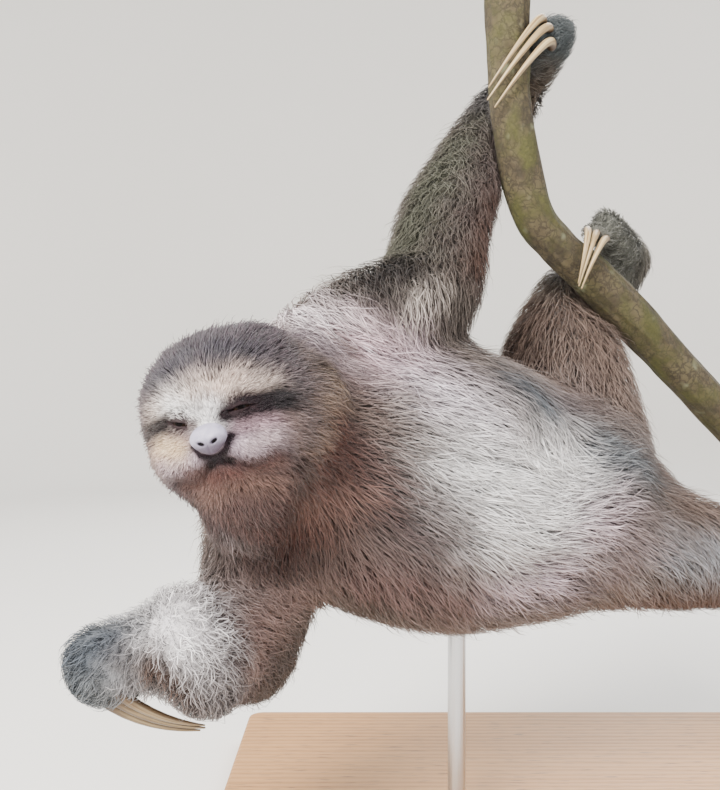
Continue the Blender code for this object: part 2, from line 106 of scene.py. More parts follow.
def mesh_of(name, points, loops, sizes):
    """A mesh from arrays: points (n, 3), the corner numbers of all faces in a row, and each face's count."""
    mesh = bpy.data.meshes.new(name)
    mesh.vertices.add(len(points))
    mesh.vertices.foreach_set("co", np.asarray(points, np.float32).ravel())
    mesh.loops.add(len(loops))
    mesh.loops.foreach_set("vertex_index", loops.astype(np.int32))
    mesh.polygons.add(len(sizes))
    mesh.polygons.foreach_set("loop_start", (np.cumsum(sizes) - sizes).astype(np.int32))
    mesh.update(calc_edges=True)
    return mesh


def piece(name, points, faces, finish):
    """A smooth object from arrays: points (n, 3), and faces as a list of arrays (m, 3) or (m, 4)."""
    loops = np.concatenate([part.ravel() for part in faces])
    sizes = np.concatenate([np.full(len(part), part.shape[1]) for part in faces])
    mesh = mesh_of(name, points, loops, sizes)
    mesh.shade_smooth()
    mesh.materials.append(finish)
    return placed(name, mesh)


def rings(rows, columns, poles=False):
    """Faces of a grid whose columns close on themselves. Poles adds a fan at each end, to a last point."""
    row, column = np.meshgrid(np.arange(rows - 1), np.arange(columns), indexing="ij")
    a = (row * columns + column).ravel()
    b = (row * columns + (column + 1) % columns).ravel()
    sides = np.stack([a, b, b + columns, a + columns], axis=1)
    if not poles:
        return [sides]
    turn = np.arange(columns)
    after = (turn + 1) % columns
    low = np.stack([after, turn, np.full(columns, rows * columns)], axis=1)
    top = (rows - 1) * columns
    high = np.stack([turn + top, after + top, np.full(columns, rows * columns + 1)], axis=1)
    return [sides, low, high]


def sweep_room():
    """Floor and wall: a profile, out along the floor, up a quarter circle and the wall, turned about Z."""
    quarter = np.linspace(0, math.pi / 2, 16)
    wall = FLOOR_RADIUS + COVE_RADIUS
    out = np.concatenate([[0.01, 1.0], FLOOR_RADIUS + COVE_RADIUS * np.sin(quarter), [wall]])[:, None]
    up = np.concatenate([[0, 0], COVE_RADIUS * (1 - np.cos(quarter)), [WALL_HEIGHT]])
    turn = np.linspace(0, 2 * math.pi, 96, endpoint=False)
    points = np.stack([out * np.cos(turn), out * np.sin(turn), np.repeat(up[:, None], len(turn), 1)], axis=2)
    flat = np.vstack([points.reshape(-1, 3), [[0, 0, 0]]])
    sides = rings(len(out), len(turn))[0]
    first = np.arange(len(turn))
    hub = np.stack([np.full(len(turn), len(flat) - 1), first, (first + 1) % len(turn)], axis=1)
    return flat, [sides[:, ::-1], hub]


# Matt wall paint: one pale warm grey, with the faintest clouding that a roller leaves.
paint_wall = finish_of("pale_matt_paint")
where = add(paint_wall, "TexCoord").outputs["Object"]
cloud = add(paint_wall, "TexNoise", {"Vector": where, "Scale": 1.5, "Detail": 2.0})
tone = add(paint_wall, "Mix", {"Factor": cloud, "A": "#e4e2dd", "B": "#eae8e4"}, data_type="RGBA")
flat_paint = add(paint_wall, "BsdfPrincipled", {"Base Color": tone, "Roughness": 0.95})
add(paint_wall, "OutputMaterial", {"Surface": flat_paint})
floor = piece("floor", *sweep_room(), paint_wall)

for name, (place, size, power, colour) in LAMPS.items():
    lamp = placed(name, bpy.data.lights.new(name, "AREA"))
    lamp.data.shape, lamp.data.size, lamp.data.energy = "DISK", size, power
    lamp.data.color = linear(colour)
    lamp.location = place
    lamp.rotation_euler = (LAMPS_AIM - Vector(place)).to_track_quat("-Z", "Y").to_euler()

sky = bpy.data.worlds.new("even_sky")
sky.use_nodes = True
sky.node_tree.nodes.clear()
glow = add(sky, "Background", {"Color": "#f2f4f8", "Strength": 0.8})
add(sky, "OutputWorld", {"Surface": glow})
bpy.context.scene.world = sky

camera = placed("camera", bpy.data.cameras.new("camera"))
camera.location = CAMERA_AT
camera.rotation_euler = (math.pi / 2, 0, 0)
camera.data.lens = CAMERA_LENS
bpy.context.scene.camera = camera

# ---------------------------------------------------------------------------------------------
# The display stand: an oiled oak board and two brushed steel rods, one up into the sloth's chest and
# one into the foot of the stem. They are the frame's own pieces, with their finish added here.

# Oiled oak: straight grain along X in rings a few millimetres apart, with short dark pores.
oak = finish_of("oiled_oak")
where = add(oak, "TexCoord").outputs["Object"]
along = add(oak, "Mapping", {"Vector": where, "Scale": (0.06, 1.0, 1.0)})
wobble = add(oak, "TexNoise", {"Vector": along, "Scale": 26.0, "Detail": 3.0})
ring = add(oak, "TexWave", {
    "Vector": along, "Scale": 42.0, "Distortion": 5.0, "Detail": 3.0, "Detail Scale": 1.6,
}, bands_direction="Y").outputs["Fac"]
pore_way = add(oak, "Mapping", {"Vector": where, "Scale": (0.05, 1.0, 1.0)})
pore = add(oak, "TexNoise", {"Vector": pore_way, "Scale": 1100.0, "Detail": 1.0})
grain = add(oak, "Mix", {"Factor": ring, "A": "#a97c4b", "B": "#8a5f35"}, data_type="RGBA")
patchy = add(oak, "Mix", {"Factor": wobble, "A": grain, "B": "#b98a56"}, data_type="RGBA")
dark_pore = add(oak, "MapRange", {"Value": pore, "From Min": 0.62, "From Max": 0.72})
wood = add(oak, "Mix", {"Factor": dark_pore, "A": patchy, "B": "#5d3d22"}, data_type="RGBA")
dent = add(oak, "Bump", {"Height": dark_pore, "Strength": 0.25, "Distance": 0.0002}, invert=True)
gloss = add(oak, "MapRange", {"Value": ring, "To Min": 0.38, "To Max": 0.55})
oiled = add(oak, "BsdfPrincipled", {"Base Color": wood, "Roughness": gloss, "Normal": dent, "IOR": 1.5})
add(oak, "OutputMaterial", {"Surface": oiled})

# Brushed steel: fine turned lines round the rod, which spread the highlight.
steel = finish_of("brushed_steel")
where = add(steel, "TexCoord").outputs["Object"]
flat_way = add(steel, "Mapping", {"Vector": where, "Scale": (20.0, 20.0, 1800.0)})
scratch = add(steel, "TexNoise", {"Vector": flat_way, "Scale": 1.0, "Detail": 2.0})
rough = add(steel, "MapRange", {"Value": scratch, "To Min": 0.26, "To Max": 0.44})
line = add(steel, "Bump", {"Height": scratch, "Strength": 0.08, "Distance": 0.0001})
metal = add(steel, "BsdfPrincipled", {
    "Base Color": "#c2c3c5", "Metallic": 1.0, "Roughness": rough, "Normal": line,
})
add(steel, "OutputMaterial", {"Surface": metal})

for name, finish in (("stand_base", oak), ("stand_rod_body", steel), ("stand_rod_stem", steel)):
    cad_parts[name].data.materials.clear()
    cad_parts[name].data.materials.append(finish)

# ---------------------------------------------------------------------------------------------
# The stem: a bent length of a living forest stem, two fingers thick, sawn off at both ends. Its grey-brown
# bark has shallow fissures along it, and green moss and pale lichen on the side that the rain reaches.

# The line of its heart in millimetres, and its radius at the top and at the foot.
STEM_LINE = [
    (-99, -25, 630), (-98, -25, 600), (-97, -25, 543), (-94, -24, 500), (-79, -12, 443), (-58, 0, 418),
    (-30, 15, 398), (15, 40, 362), (61, 62, 321), (161, 105, 229), (236, 135, 161), (284, 150, 117),
]
STEM_GIRTH = (0.0155, 0.0170)
# Waves of the bark's ridges, the moss cushions and the stem's slow swelling: size, (waves along, waves
# round), shift. The ridges' and cushions' sums are multiplied by their heights.
RIDGES = [(0.34, (31, 9), 0.0), (0.26, (-47, 13), 1.1), (0.20, (83, -17), 2.0), (0.16, (140, 5), 0.6),
          (0.14, (-210, 22), 4.0)]
CUSHIONS = [(0.6, (38, 1), 0.4), (0.4, (-71, 2), 2.2), (0.35, (155, 4), 1.0)]
SWELLS = [(0.0009, (21, 0), 1.0), (0.0006, (47, 0), 0.0)]
RIDGE_HEIGHT, CUSHION_HEIGHT, CUSHIONS_FROM = 0.0007, 0.0010, 0.35
BARK_UNDER = 0.0011
SAWN_RINGS = (0.97, 0.55)
AROUND_STEM = 72


def through(points, steps):
    """Points on a smooth curve through the given ones (Catmull-Rom), steps to each span."""
    given = np.array(points, float)
    padded = np.vstack([2 * given[0] - given[1], given, 2 * given[-1] - given[-2]])
    t = np.linspace(0, 1, steps, endpoint=False)[:, None]
    spans = [
        0.5 * (2 * b + (c - a) * t + (2 * a - 5 * b + 4 * c - d) * t**2 + (3 * b - a - 3 * c + d) * t**3)
        for a, b, c, d in zip(padded, padded[1:], padded[2:], padded[3:])
    ]
    return np.vstack([*spans, given[-1:]])


def unit(vectors):
    """Each vector at length one."""
    return vectors / np.maximum(np.linalg.norm(vectors, axis=-1, keepdims=True), 1e-12)


def tube(line, girth, wide, high, up):
    """A profile carried along a path: line + girth * ring, with ring = side * wide + top * high, where side
    and top stand across the path and top leans towards up. Gives the points and the rings."""
    way = unit(np.gradient(line, axis=0))
    side = unit(np.cross(way, up))[:, None]
    top = np.cross(side[:, 0], way)[:, None]
    ring = side * wide[None, :, None] + top * high[None, :, None]
    return line[:, None] + ring * girth[..., None], ring


def ripple(run, around, waves):
    """The sum over the waves of size * sin(f run + g around + shift)."""
    return sum(size * np.sin(f * run + g * around + shift) for size, (f, g), shift in waves)


stem_line = through(np.array(STEM_LINE) / 1000, 26)
stem_run = np.concatenate([[0], np.cumsum(np.linalg.norm(np.diff(stem_line, axis=0), axis=1))])
stem_radius = np.interp(stem_run, [0, stem_run[-1]], STEM_GIRTH)


def stem_surface():
    """The stem's tube, with long low ridges, moss cushions and a slow swelling added to its radius, and two
    rings drawn in on each sawn end. After its points: how mossy, sawn and far from the heart each is."""
    turn = np.linspace(0, 2 * math.pi, AROUND_STEM, endpoint=False)
    run, around = np.meshgrid(stem_run, turn, indexing="ij")
    cushion = np.maximum(0, ripple(run, around, CUSHIONS) - CUSHIONS_FROM)
    ridge, swell = ripple(run, around, RIDGES), ripple(run, around, SWELLS)
    relief = RIDGE_HEIGHT * ridge + CUSHION_HEIGHT * cushion + swell
    girth = stem_radius[:, None] - BARK_UNDER + relief
    points, _ = tube(stem_line, girth, np.cos(turn), np.sin(turn), (0.0, -1.0, 0.0))
    top, foot = ([line + (ring - line) * share for share in SAWN_RINGS]
                 for line, ring in ((stem_line[0], points[0]), (stem_line[-1], points[-1])))
    points = np.stack([*top[::-1], *points, *foot])
    flat = np.vstack([points.reshape(-1, 3), stem_line[:1], stem_line[-1:]])
    end, bark_rows = np.ones((2, AROUND_STEM)), np.ones(cushion.shape)
    drawn_in = np.repeat([[SAWN_RINGS[1]], [1.0]], AROUND_STEM, axis=1)
    mossy = np.vstack([0 * end, CUSHIONS_FROM + cushion, 0 * end])
    sawn = np.vstack([end, 0 * bark_rows, end])
    heart = np.vstack([drawn_in, bark_rows, drawn_in[::-1]])
    values = ((mossy, 0), (sawn, 1), (heart, 0))
    return flat, points.shape[:2], [np.append(value, [centre, centre]) for value, centre in values]


def keep(obj, name, values, kind="FLOAT"):
    """Stores a value, a vector or a colour for each point, as an attribute that the material reads."""
    if kind == "FLOAT_COLOR":
        values = np.concatenate([values, np.ones((len(values), 1))], axis=1)
    item = {"FLOAT": "value", "FLOAT_VECTOR": "vector", "FLOAT_COLOR": "color"}[kind]
    held = obj.data.attributes.new(name, kind, "POINT")
    held.data.foreach_set(item, np.asarray(values, np.float32).ravel())


stem_points, stem_shape, stem_values = stem_surface()

# Bark: grey-brown cork in plates about 6 mm long, fissured darker, with moss in the damp hollows,
# yellow-green at its tips, and blots of pale grey lichen 10 to 20 mm wide. The ends are raw wood with rings.
bark = finish_of("mossy_bark")
where = add(bark, "TexCoord").outputs["Object"]
warp = add(bark, "TexNoise", {"Vector": where, "Scale": 150.0, "Detail": 4.0}).outputs["Color"]
warped = add(bark, "VectorMath", {0: warp, 1: (0.014, 0.014, 0.014), 2: where}, operation="MULTIPLY_ADD")
plate = add(bark, "TexVoronoi", {
    "Vector": warped, "Scale": 170.0, "Randomness": 1.0,
}, feature="DISTANCE_TO_EDGE")
crack = add(bark, "MapRange", {"Value": plate, "From Max": 0.16})
cloudy = add(bark, "TexNoise", {"Vector": where, "Scale": 55.0, "Detail": 5.0, "Roughness": 0.6})
cork = add(bark, "ValToRGB", {"Fac": cloudy})
cork.color_ramp.elements.new(0.5)
for stop, (place, colour) in zip(
    cork.color_ramp.elements, [(0.30, "#282116"), (0.50, "#463d2a"), (0.72, "#524c32")]
):
    stop.position, stop.color = place, rgba(colour)
split = add(bark, "Mix", {"Factor": crack, "A": "#2c2619", "B": cork}, data_type="RGBA")
damp = add(bark, "Attribute", attribute_name="moss").outputs["Fac"]
tuft = add(bark, "TexNoise", {"Vector": where, "Scale": 420.0, "Detail": 3.0})
patch = add(bark, "TexNoise", {"Vector": where, "Scale": 34.0, "Detail": 4.0, "Roughness": 0.65})
damper = add(bark, "Math", {0: damp, 1: 0.25}, operation="MULTIPLY")
mossy_at = add(bark, "Math", {0: patch, 1: damper}, operation="ADD")
moss_edge = add(bark, "MapRange", {"Value": mossy_at, "From Min": 0.56, "From Max": 0.8, "To Max": 0.85})
moss_tone = add(bark, "Mix", {"Factor": tuft, "A": "#26270f", "B": "#4a4a1d"}, data_type="RGBA")
mossed = add(bark, "Mix", {"Factor": moss_edge, "A": split, "B": moss_tone}, data_type="RGBA")
blot = add(bark, "TexNoise", {
    "Vector": where, "Scale": 62.0, "Detail": 2.0, "W": 3.0,
}, noise_dimensions="4D")
blot_edge = add(bark, "MapRange", {"Value": blot, "From Min": 0.62, "From Max": 0.74})
lichened = add(bark, "Mix", {"Factor": blot_edge, "A": mossed, "B": "#62644c"}, data_type="RGBA")
cut = add(bark, "Attribute", attribute_name="sawn").outputs["Fac"]
out_from_heart = add(bark, "Attribute", attribute_name="heart").outputs["Fac"]
year = add(bark, "Math", {0: out_from_heart, 1: 55.0}, operation="MULTIPLY")
year_line = add(bark, "Math", {0: year}, operation="SINE")
raw = add(bark, "Mix", {"Factor": year_line, "A": "#c9a877", "B": "#a98455"}, data_type="RGBA")
whole = add(bark, "Mix", {"Factor": cut, "A": lichened, "B": raw}, data_type="RGBA")
deep = add(bark, "Math", {0: crack, 1: 0.35, 2: tuft}, operation="MULTIPLY_ADD")
bark_bump = add(bark, "Bump", {"Height": deep, "Strength": 0.7, "Distance": 0.0007})
bark_shader = add(bark, "BsdfPrincipled", {"Base Color": whole, "Roughness": 0.92, "Normal": bark_bump})
add(bark, "OutputMaterial", {"Surface": bark_shader})

stem = piece("stem_with_bark", stem_points, rings(*stem_shape, poles=True), bark)
for name, values in zip(("moss", "sawn", "heart"), stem_values):
    keep(stem, name, values)
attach(stem, "root")
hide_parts("perch_stem")

# ---------------------------------------------------------------------------------------------
# The sloth's form. The frame's body pieces show where the tips of the coat lie. Their common outline is
# read into a grid of distances, and the skin lies under it by the depth that the coat has at each place.

# Spacing of the grid, how many steps from the surface it reaches, by how much the seams between the pieces
# are closed, and how often it is then smoothed.
GRID_STEP, GRID_REACH, SEAM, GRID_SMOOTH = 0.0026, 12, 0.0008, 4
# Plugs for the pockets of the claws and of the chest rod: radius, then number and spacing down the rod.
CLAW_PLUG, ROD_PLUG, ROD_PLUGS, ROD_PLUG_STEP = 0.0050, 0.0085, 11, 0.005
# Each body piece: depth of the coat, length and width of a lock, which way its hair lies along the limb
# (1 towards the foot or tail, -1 back towards the body), how much it hangs, and how frizzy it is.
COAT = {
    "head": (0.0070, 0.020, 0.00062, 0.0, 0.10, 0.8),
    "neck": (0.0110, 0.036, 0.00095, 1.0, 0.55, 1.2),
    "trunk": (0.0105, 0.034, 0.00095, 1.0, 0.35, 1.1),
    "tail": (0.0060, 0.018, 0.00095, 1.0, 0.30, 1.0),
    "upper_arm": (0.0095, 0.032, 0.00095, -0.25, 0.90, 1.4),
    "forearm": (0.0090, 0.025, 0.00085, -1.0, 0.30, 2.6),
    "hand": (0.0055, 0.017, 0.00080, 0.6, 0.30, 1.5),
    "thigh": (0.0100, 0.034, 0.00095, 0.15, 0.90, 1.3),
    "shank": (0.0080, 0.028, 0.00090, 0.50, 0.60, 1.4),
    "foot": (0.0045, 0.014, 0.00080, 0.50, 0.30, 1.2),
}
CHAINS = [("head", "neck", "trunk", "tail")]
CHAINS += [("trunk", f"{upper}_{side}", f"{lower}_{side}", f"{end}_{side}")
           for side in ("left", "right")
           for upper, lower, end in (("upper_arm", "forearm", "hand"), ("thigh", "shank", "foot"))]


def read(items, name, kind, width):
    """One value of every item of a mesh, as an array with that many columns."""
    flat = np.empty(len(items) * width, kind)
    items.foreach_get(name, flat)
    return flat.reshape(-1, width)


def corners(node):
    """The corner points of a frame node."""
    return read(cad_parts[node].data.vertices, "co", np.float32, 3).astype(float)


def triangles(mesh):
    """The mesh's faces as triangles, each three corner numbers."""
    mesh.calc_loop_triangles()
    return read(mesh.loop_triangles, "vertices", np.int32, 3)


def apart(points, place):
    """How far each point is from a place."""
    return np.linalg.norm(points - place, axis=-1)


def bell(away, reach, power=2):
    """exp(-(away / reach)^power): one in the middle, and nought well past the reach."""
    return np.exp(-((away / reach) ** power))


def meeting(a, b):
    """The middle of the ring where two neighbouring pieces touch: of the first one's corners within 1.5 mm
    of the second, or of its 24 nearest."""
    first, second = corners(a), corners(b)
    gap = apart(first[:, None], second[None]).min(axis=1)
    return first[gap < max(0.0015, np.sort(gap)[24])].mean(axis=0)


def far_end(node, start):
    """The middle of the 15 % of a piece's corners that lie farthest from its start."""
    points = corners(node)
    reach = apart(points, start)
    return points[reach > np.quantile(reach, 0.85)].mean(axis=0)


def to_line(points, start, end):
    """Distance of each point from a straight line between two points, and the share of the way along it."""
    way = end - start
    share = np.clip(((points - start) @ way) / (way @ way), 0, 1)
    return np.linalg.norm(points - start - share[:, None] * way, axis=1), share


BONES = {}
for chain in CHAINS:
    for before, node, after in zip((None, *chain), chain, (*chain[1:], None)):
        if node in BONES:
            continue
        start = meeting(before, node) if before else corners("nose").mean(axis=0)
        end = meeting(node, after) if after else far_end(node, start)
        BONES[node] = (start, end, np.median(to_line(corners(node), start, end)[0]))
KINDS = [node.removesuffix("_left").removesuffix("_right") for node in BONES]
coat_columns = np.array([COAT[kind] for kind in KINDS]).T
COAT_DEPTH, COAT_LENGTH, COAT_WIDTH, COAT_LIE, COAT_SAG, COAT_FRIZZ = coat_columns


def ball(centre, radius, rows=7, columns=12):
    """Points and triangles of a small round plug."""
    turn = np.linspace(0, 2 * math.pi, columns, endpoint=False)
    rise = np.linspace(-math.pi / 2, math.pi / 2, rows + 2)[1:-1, None]
    ring = [np.cos(rise) * np.cos(turn), np.cos(rise) * np.sin(turn), np.repeat(np.sin(rise), columns, 1)]
    points = centre + radius * np.vstack([np.stack(ring, axis=2).reshape(-1, 3), [[0, 0, -1], [0, 0, 1]]])
    sides, low, high = rings(rows, columns, poles=True)
    return points, np.vstack([sides[:, :3], sides[:, [0, 2, 3]], low, high])


def outline_solids():
    """All body pieces as one set of triangles, with the pockets of the claws and the chest rod plugged."""
    parts = [(corners(node), triangles(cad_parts[node].data))
             for node in (*BONES, "eye_left", "eye_right", "nose")]
    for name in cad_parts:
        if name.startswith("claw_"):
            points = corners(name)
            owner = name.removeprefix("claw_")[:-2]
            parts.append(ball(points[np.argmin(apart(points, BONES[owner][0]))], CLAW_PLUG))
    rod = corners("stand_rod_body")
    top = rod[rod[:, 2] > rod[:, 2].max() - 0.001].mean(axis=0)
    parts += [ball(top - (0, 0, ROD_PLUG_STEP * k), ROD_PLUG) for k in range(ROD_PLUGS)]
    base = np.cumsum([0] + [len(points) for points, _ in parts])
    return np.vstack([p for p, _ in parts]), np.vstack([t + b for (_, t), b in zip(parts, base)])


def softened(field, times):
    """The field after that many passes of a 1-2-1 average along each axis."""
    for _ in range(times):
        for axis in range(3):
            low, mid, high = ([slice(None)] * 3 for _ in range(3))
            low[axis], mid[axis], high[axis] = slice(None, -2), slice(1, -1), slice(2, None)
            field[tuple(mid)] = 0.5 * field[tuple(mid)] + 0.25 * (field[tuple(low)] + field[tuple(high)])
    return field


points, faces = outline_solids()
fine_scale, scale = (openvdb.createLinearTransform(size) for size in (GRID_STEP * 0.6, GRID_STEP))
fine = openvdb.FloatGrid.createLevelSetFromPolygons(
    points.astype(np.float32), triangles=faces.astype(np.uint32), transform=fine_scale, halfWidth=3
)
closed_points, _, closed_quads = fine.convertToPolygons(isovalue=SEAM)
coarse = openvdb.FloatGrid.createLevelSetFromPolygons(
    closed_points, quads=closed_quads, transform=scale, halfWidth=GRID_REACH
)
grid_low, grid_high = (np.array(corner) for corner in coarse.evalActiveVoxelBoundingBox())
outline = np.empty(grid_high - grid_low + 1, np.float32)
coarse.copyToArray(outline, ijk=tuple(int(i) for i in grid_low))
outline = softened(outline + SEAM, GRID_SMOOTH)


def sample(field, points):
    """The field's value at each point, linear between the eight grid corners around it."""
    place = points / GRID_STEP - grid_low
    place = np.clip(place, 0, np.array(field.shape) - 1.001)
    cell = place.astype(np.int32)
    part = (place - cell).astype(np.float32)
    flat = field.ravel()
    row, layer = field.shape[2], field.shape[1] * field.shape[2]
    first = cell[:, 0] * layer + cell[:, 1] * row + cell[:, 2]
    mixed = 0
    for i, j, k in np.ndindex(2, 2, 2):
        weight = np.abs(1 - i - part[:, 0]) * np.abs(1 - j - part[:, 1]) * np.abs(1 - k - part[:, 2])
        mixed = mixed + weight * flat[first + i * layer + j * row + k]
    return mixed


def outward(field, points, reach=GRID_STEP):
    """The direction in which the field grows fastest, from samples on six sides."""
    slope = [sample(field, points + axis) - sample(field, points - axis) for axis in reach * np.eye(3)]
    return unit(np.stack(slope, axis=1))


def grid_spots(*numbers):
    """The grid's corners with those numbers along x, y and z, as points."""
    return (np.stack(np.meshgrid(*numbers, indexing="ij"), axis=-1) + grid_low) * GRID_STEP


# A rougher grid, of every fourth corner, is enough for each piece's share of a place. Neighbours blend over
# a few times the given distance, and the pieces' corners are thinned to about this many.
ROUGH, SHARE_BLEND, SHARE_CORNERS = 4, 0.006, 130
rough_numbers = [np.arange(0, size + ROUGH, ROUGH) for size in outline.shape]


def piece_shares():
    """How much each body piece has of each corner of the rough grid, falling off with the distance from
    the piece's own corner points, so that two neighbours blend over about two centimetres."""
    spots = grid_spots(*rough_numbers).reshape(-1, 3)
    near = []
    for node in BONES:
        cloud = np.unique(corners(node).round(4), axis=0)
        cloud = cloud[:: max(1, len(cloud) // SHARE_CORNERS)]
        squared = (spots**2).sum(axis=1)[:, None] + (cloud**2).sum(axis=1)[None] - 2 * spots @ cloud.T
        near.append(np.sqrt(np.maximum(squared.min(axis=1), 0)))
    near = np.stack(near, axis=1)
    weight = np.exp(-(near - near.min(axis=1, keepdims=True)) / SHARE_BLEND)
    weight /= weight.sum(axis=1, keepdims=True)
    return weight.reshape(*[len(numbers) for numbers in rough_numbers], -1).astype(np.float32)


rough_shares = piece_shares()


def shares(points):
    """How much each body piece has of each point, linear between the rough grid's corners."""
    place = np.clip((points / GRID_STEP - grid_low) / ROUGH, 0, np.array(rough_shares.shape[:3]) - 1.001)
    cell = place.astype(int)
    part = place - cell
    mixed = 0
    for corner in np.ndindex(2, 2, 2):
        weight = np.prod(np.abs(1 - np.array(corner) - part), axis=1)
        mixed = mixed + weight[:, None] * rough_shares[tuple((cell + corner).T)]
    return mixed


# The head's own axes, from its eyes and nose: left, forward and up from the middle of the eyes. The nose
# lies below straight ahead by the drop, and each eye looks out to its side and sits a little deeper.
NOSE_DROP, EYE_TURN, EYE_SINK = math.radians(36.5), {"left": 0.30, "right": -0.30}, 0.0030
EYES = {side: corners(f"eye_{side}").mean(axis=0) for side in ("left", "right")}
EYE_RADIUS = np.ptp(corners("eye_left")[:, 2]) / 2
NOSE = corners("nose").mean(axis=0)
BETWEEN_EYES = (EYES["left"] + EYES["right"]) / 2
HEAD_LEFT = unit(EYES["left"] - EYES["right"])
to_nose = unit(NOSE - BETWEEN_EYES)
HEAD_FORWARD = to_nose * math.cos(NOSE_DROP) + np.cross(to_nose, HEAD_LEFT) * math.sin(NOSE_DROP)
HEAD_UP = np.cross(HEAD_FORWARD, HEAD_LEFT)
HEAD_AXES = np.stack([HEAD_LEFT, HEAD_FORWARD, HEAD_UP])
EYE_AHEAD = {side: unit(HEAD_FORWARD + turn * HEAD_LEFT) for side, turn in EYE_TURN.items()}
EYES = {side: eye - EYE_AHEAD[side] * EYE_SINK for side, eye in EYES.items()}


def in_head(points):
    """Points in the head's own axes."""
    return (points - BETWEEN_EYES) @ HEAD_AXES.T


def from_eyes(points):
    """How far each point is from the nearer eye."""
    return np.min([apart(points, eye) for eye in EYES.values()], axis=0)


def to_path(spots, path):
    """Distance of each point from a broken line."""
    path = np.array(path, float)
    return np.min([to_line(spots, start, end)[0] for start, end in zip(path, path[1:])], axis=0)


def rising(x):
    """1 / (1 + exp(-x)): nought far below nought, one far above it."""
    return 1 / (1 + np.exp(-np.clip(x, -30, 30)))


def growing(away, least, slope, start):
    """least + slope * (away - start), and never under the least."""
    return least + slope * np.maximum(away - start, 0)


# The crease of the mouth, curling up at its corners, as (left, up) in millimetres from between the eyes.
MOUTH = [(0, -22), (5, -24), (11, -28), (18, -29), (26, -26)]
# Hollows and rises of the face, the same on both sides: their line, reach and height in millimetres. First
# the mouth, then the eye's hollow and its outer end, the brow, the bridge, the lip, the cheek, the chin.
FACE_RELIEF = [
    (MOUTH, 3.0, -1.8), ([(12, -1), (18, 0)], 6.0, -0.8), ([(22, 1), (32, 2)], 6.0, -1.6),
    ([(5, 9), (24, 12)], 5.5, 1.6), ([(0, 2), (0, 8)], 6.0, -1.4), ([(8, -18), (14, -20)], 5.0, 2.2),
    ([(26, -12), (34, -12)], 10.0, 1.6), ([(0, -31), (8, -33)], 6.5, 1.6),
]
# How far back the face reaches, how softly it ends there, and how far up and down.
FACE_BACK, FACE_EDGE, FACE_HIGH = 22.0, 4, 70
# Depth of the coat at the nose pad and at the lids: the least, its growth, and where that starts.
NOSE_DEPTH, LID_DEPTH = (0.0022, 0.09, 0.010), (0.0014, 0.20, 0.006)


def on_face(points):
    """Left (on either side) and up of each point in millimetres, and how far on the face it is (0 to 1)."""
    left, forward, up = in_head(points).T * 1000
    front = rising((forward + FACE_BACK) / FACE_EDGE)
    return np.stack([np.abs(left), up], axis=1), front * (np.abs(up) < FACE_HIGH)


def face_relief(points):
    """Height of the face over the plain form: the sum over its lines of rise * exp(-(away / reach)^2)."""
    spots, front = on_face(points)
    return sum(rise * bell(to_path(spots, line), reach) for line, reach, rise in FACE_RELIEF) * front * 0.001


def face_depth(points):
    """Depth of the coat on the face: 1 to 2 mm at the nose pad and the lids, growing away from them."""
    return np.minimum(growing(apart(points, NOSE), *NOSE_DEPTH), growing(from_eyes(points), *LID_DEPTH))


def numbers_in(block):
    """The numbers of the grid's corners in a block of it, along x, y and z."""
    return [np.arange(size)[cut] for size, cut in zip(outline.shape, block)]


head_block = tuple(
    slice(max(0, int(low / GRID_STEP) - first - 2), int(high / GRID_STEP) - first + 3)
    for low, high, first in zip(*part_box("head"), grid_low)
)
head_spots = grid_spots(*numbers_in(head_block)).reshape(-1, 3)
outline[head_block] -= face_relief(head_spots).reshape(outline[head_block].shape)

# Where the coat stands fuller or thinner than the solids: the place, reach and height of each soft bump, in
# millimetres, with height * exp(-(distance / reach)^2) added.
FULLER = [
    # The reaching forearm and hand, and the gripping hand.
    (-276, -177, 149, 23, 17), (-292, -189, 207, 20, 7.5), (-347, -184, 178, 17, 4.5),
    (-322, -190, 158, 14, 3.5), (-50, -11, 560, 16, 3),
    # Round the roots of the claws.
    (-336, -178, 153, 14, 7), (-65, -19, 563, 12, 13.5), (-26, 14, 430, 13, 11.5), (177, 86, 194, 13, 6),
    # The back of the crown, the ruff of the cheek and the throat.
    (-246, -185, 345, 18, 6.5), (-243, -143, 350, 20, 4.5), (-227, -160, 334, 18, 6.5),
    (-217, -166, 312, 18, 6.5), (-219, -178, 288, 17, 5.5), (-262, -170, 240, 20, 6.5),
    # The crease where the head lies against the neck.
    (-212, -140, 342, 9, -4), (-204, -142, 324, 9, -4.5), (-200, -147, 306, 9, -4.5),
    (-202, -158, 288, 9, -4), (-210, -166, 270, 9, -3),
]
for *place, reach, height in np.array(FULLER) / 1000:
    first = [max(0, int((at - 2.2 * reach) / GRID_STEP) - low) for at, low in zip(place, grid_low)]
    block = tuple(slice(at, at + int(4.4 * reach / GRID_STEP)) for at in first)
    outline[block] -= height * bell(apart(grid_spots(*numbers_in(block)), place), reach)


def depth_grid():
    """The coat's depth over the whole grid: worked out at every fourth corner and drawn linearly between
    them, then at every corner round the face, where it changes fast."""
    rough = rough_shares @ COAT_DEPTH
    for axis, size in enumerate(outline.shape):
        place = np.arange(size) / ROUGH
        low = np.minimum(place.astype(int), rough.shape[axis] - 2)
        part = (place - low).reshape([-1 if a == axis else 1 for a in range(3)])
        rough = np.take(rough, low, axis) * (1 - part) + np.take(rough, low + 1, axis) * part
    rough = rough.astype(np.float32)
    near = face_depth(head_spots).reshape(rough[head_block].shape)
    rough[head_block] = np.minimum(rough[head_block], near)
    return rough


under = outline + depth_grid()
skin_grid = openvdb.FloatGrid()
skin_grid.copyFromArray(under, ijk=tuple(int(i) for i in grid_low))
skin_grid.transform = scale
skin_points, _, skin_quads = skin_grid.convertToPolygons(isovalue=0.0)

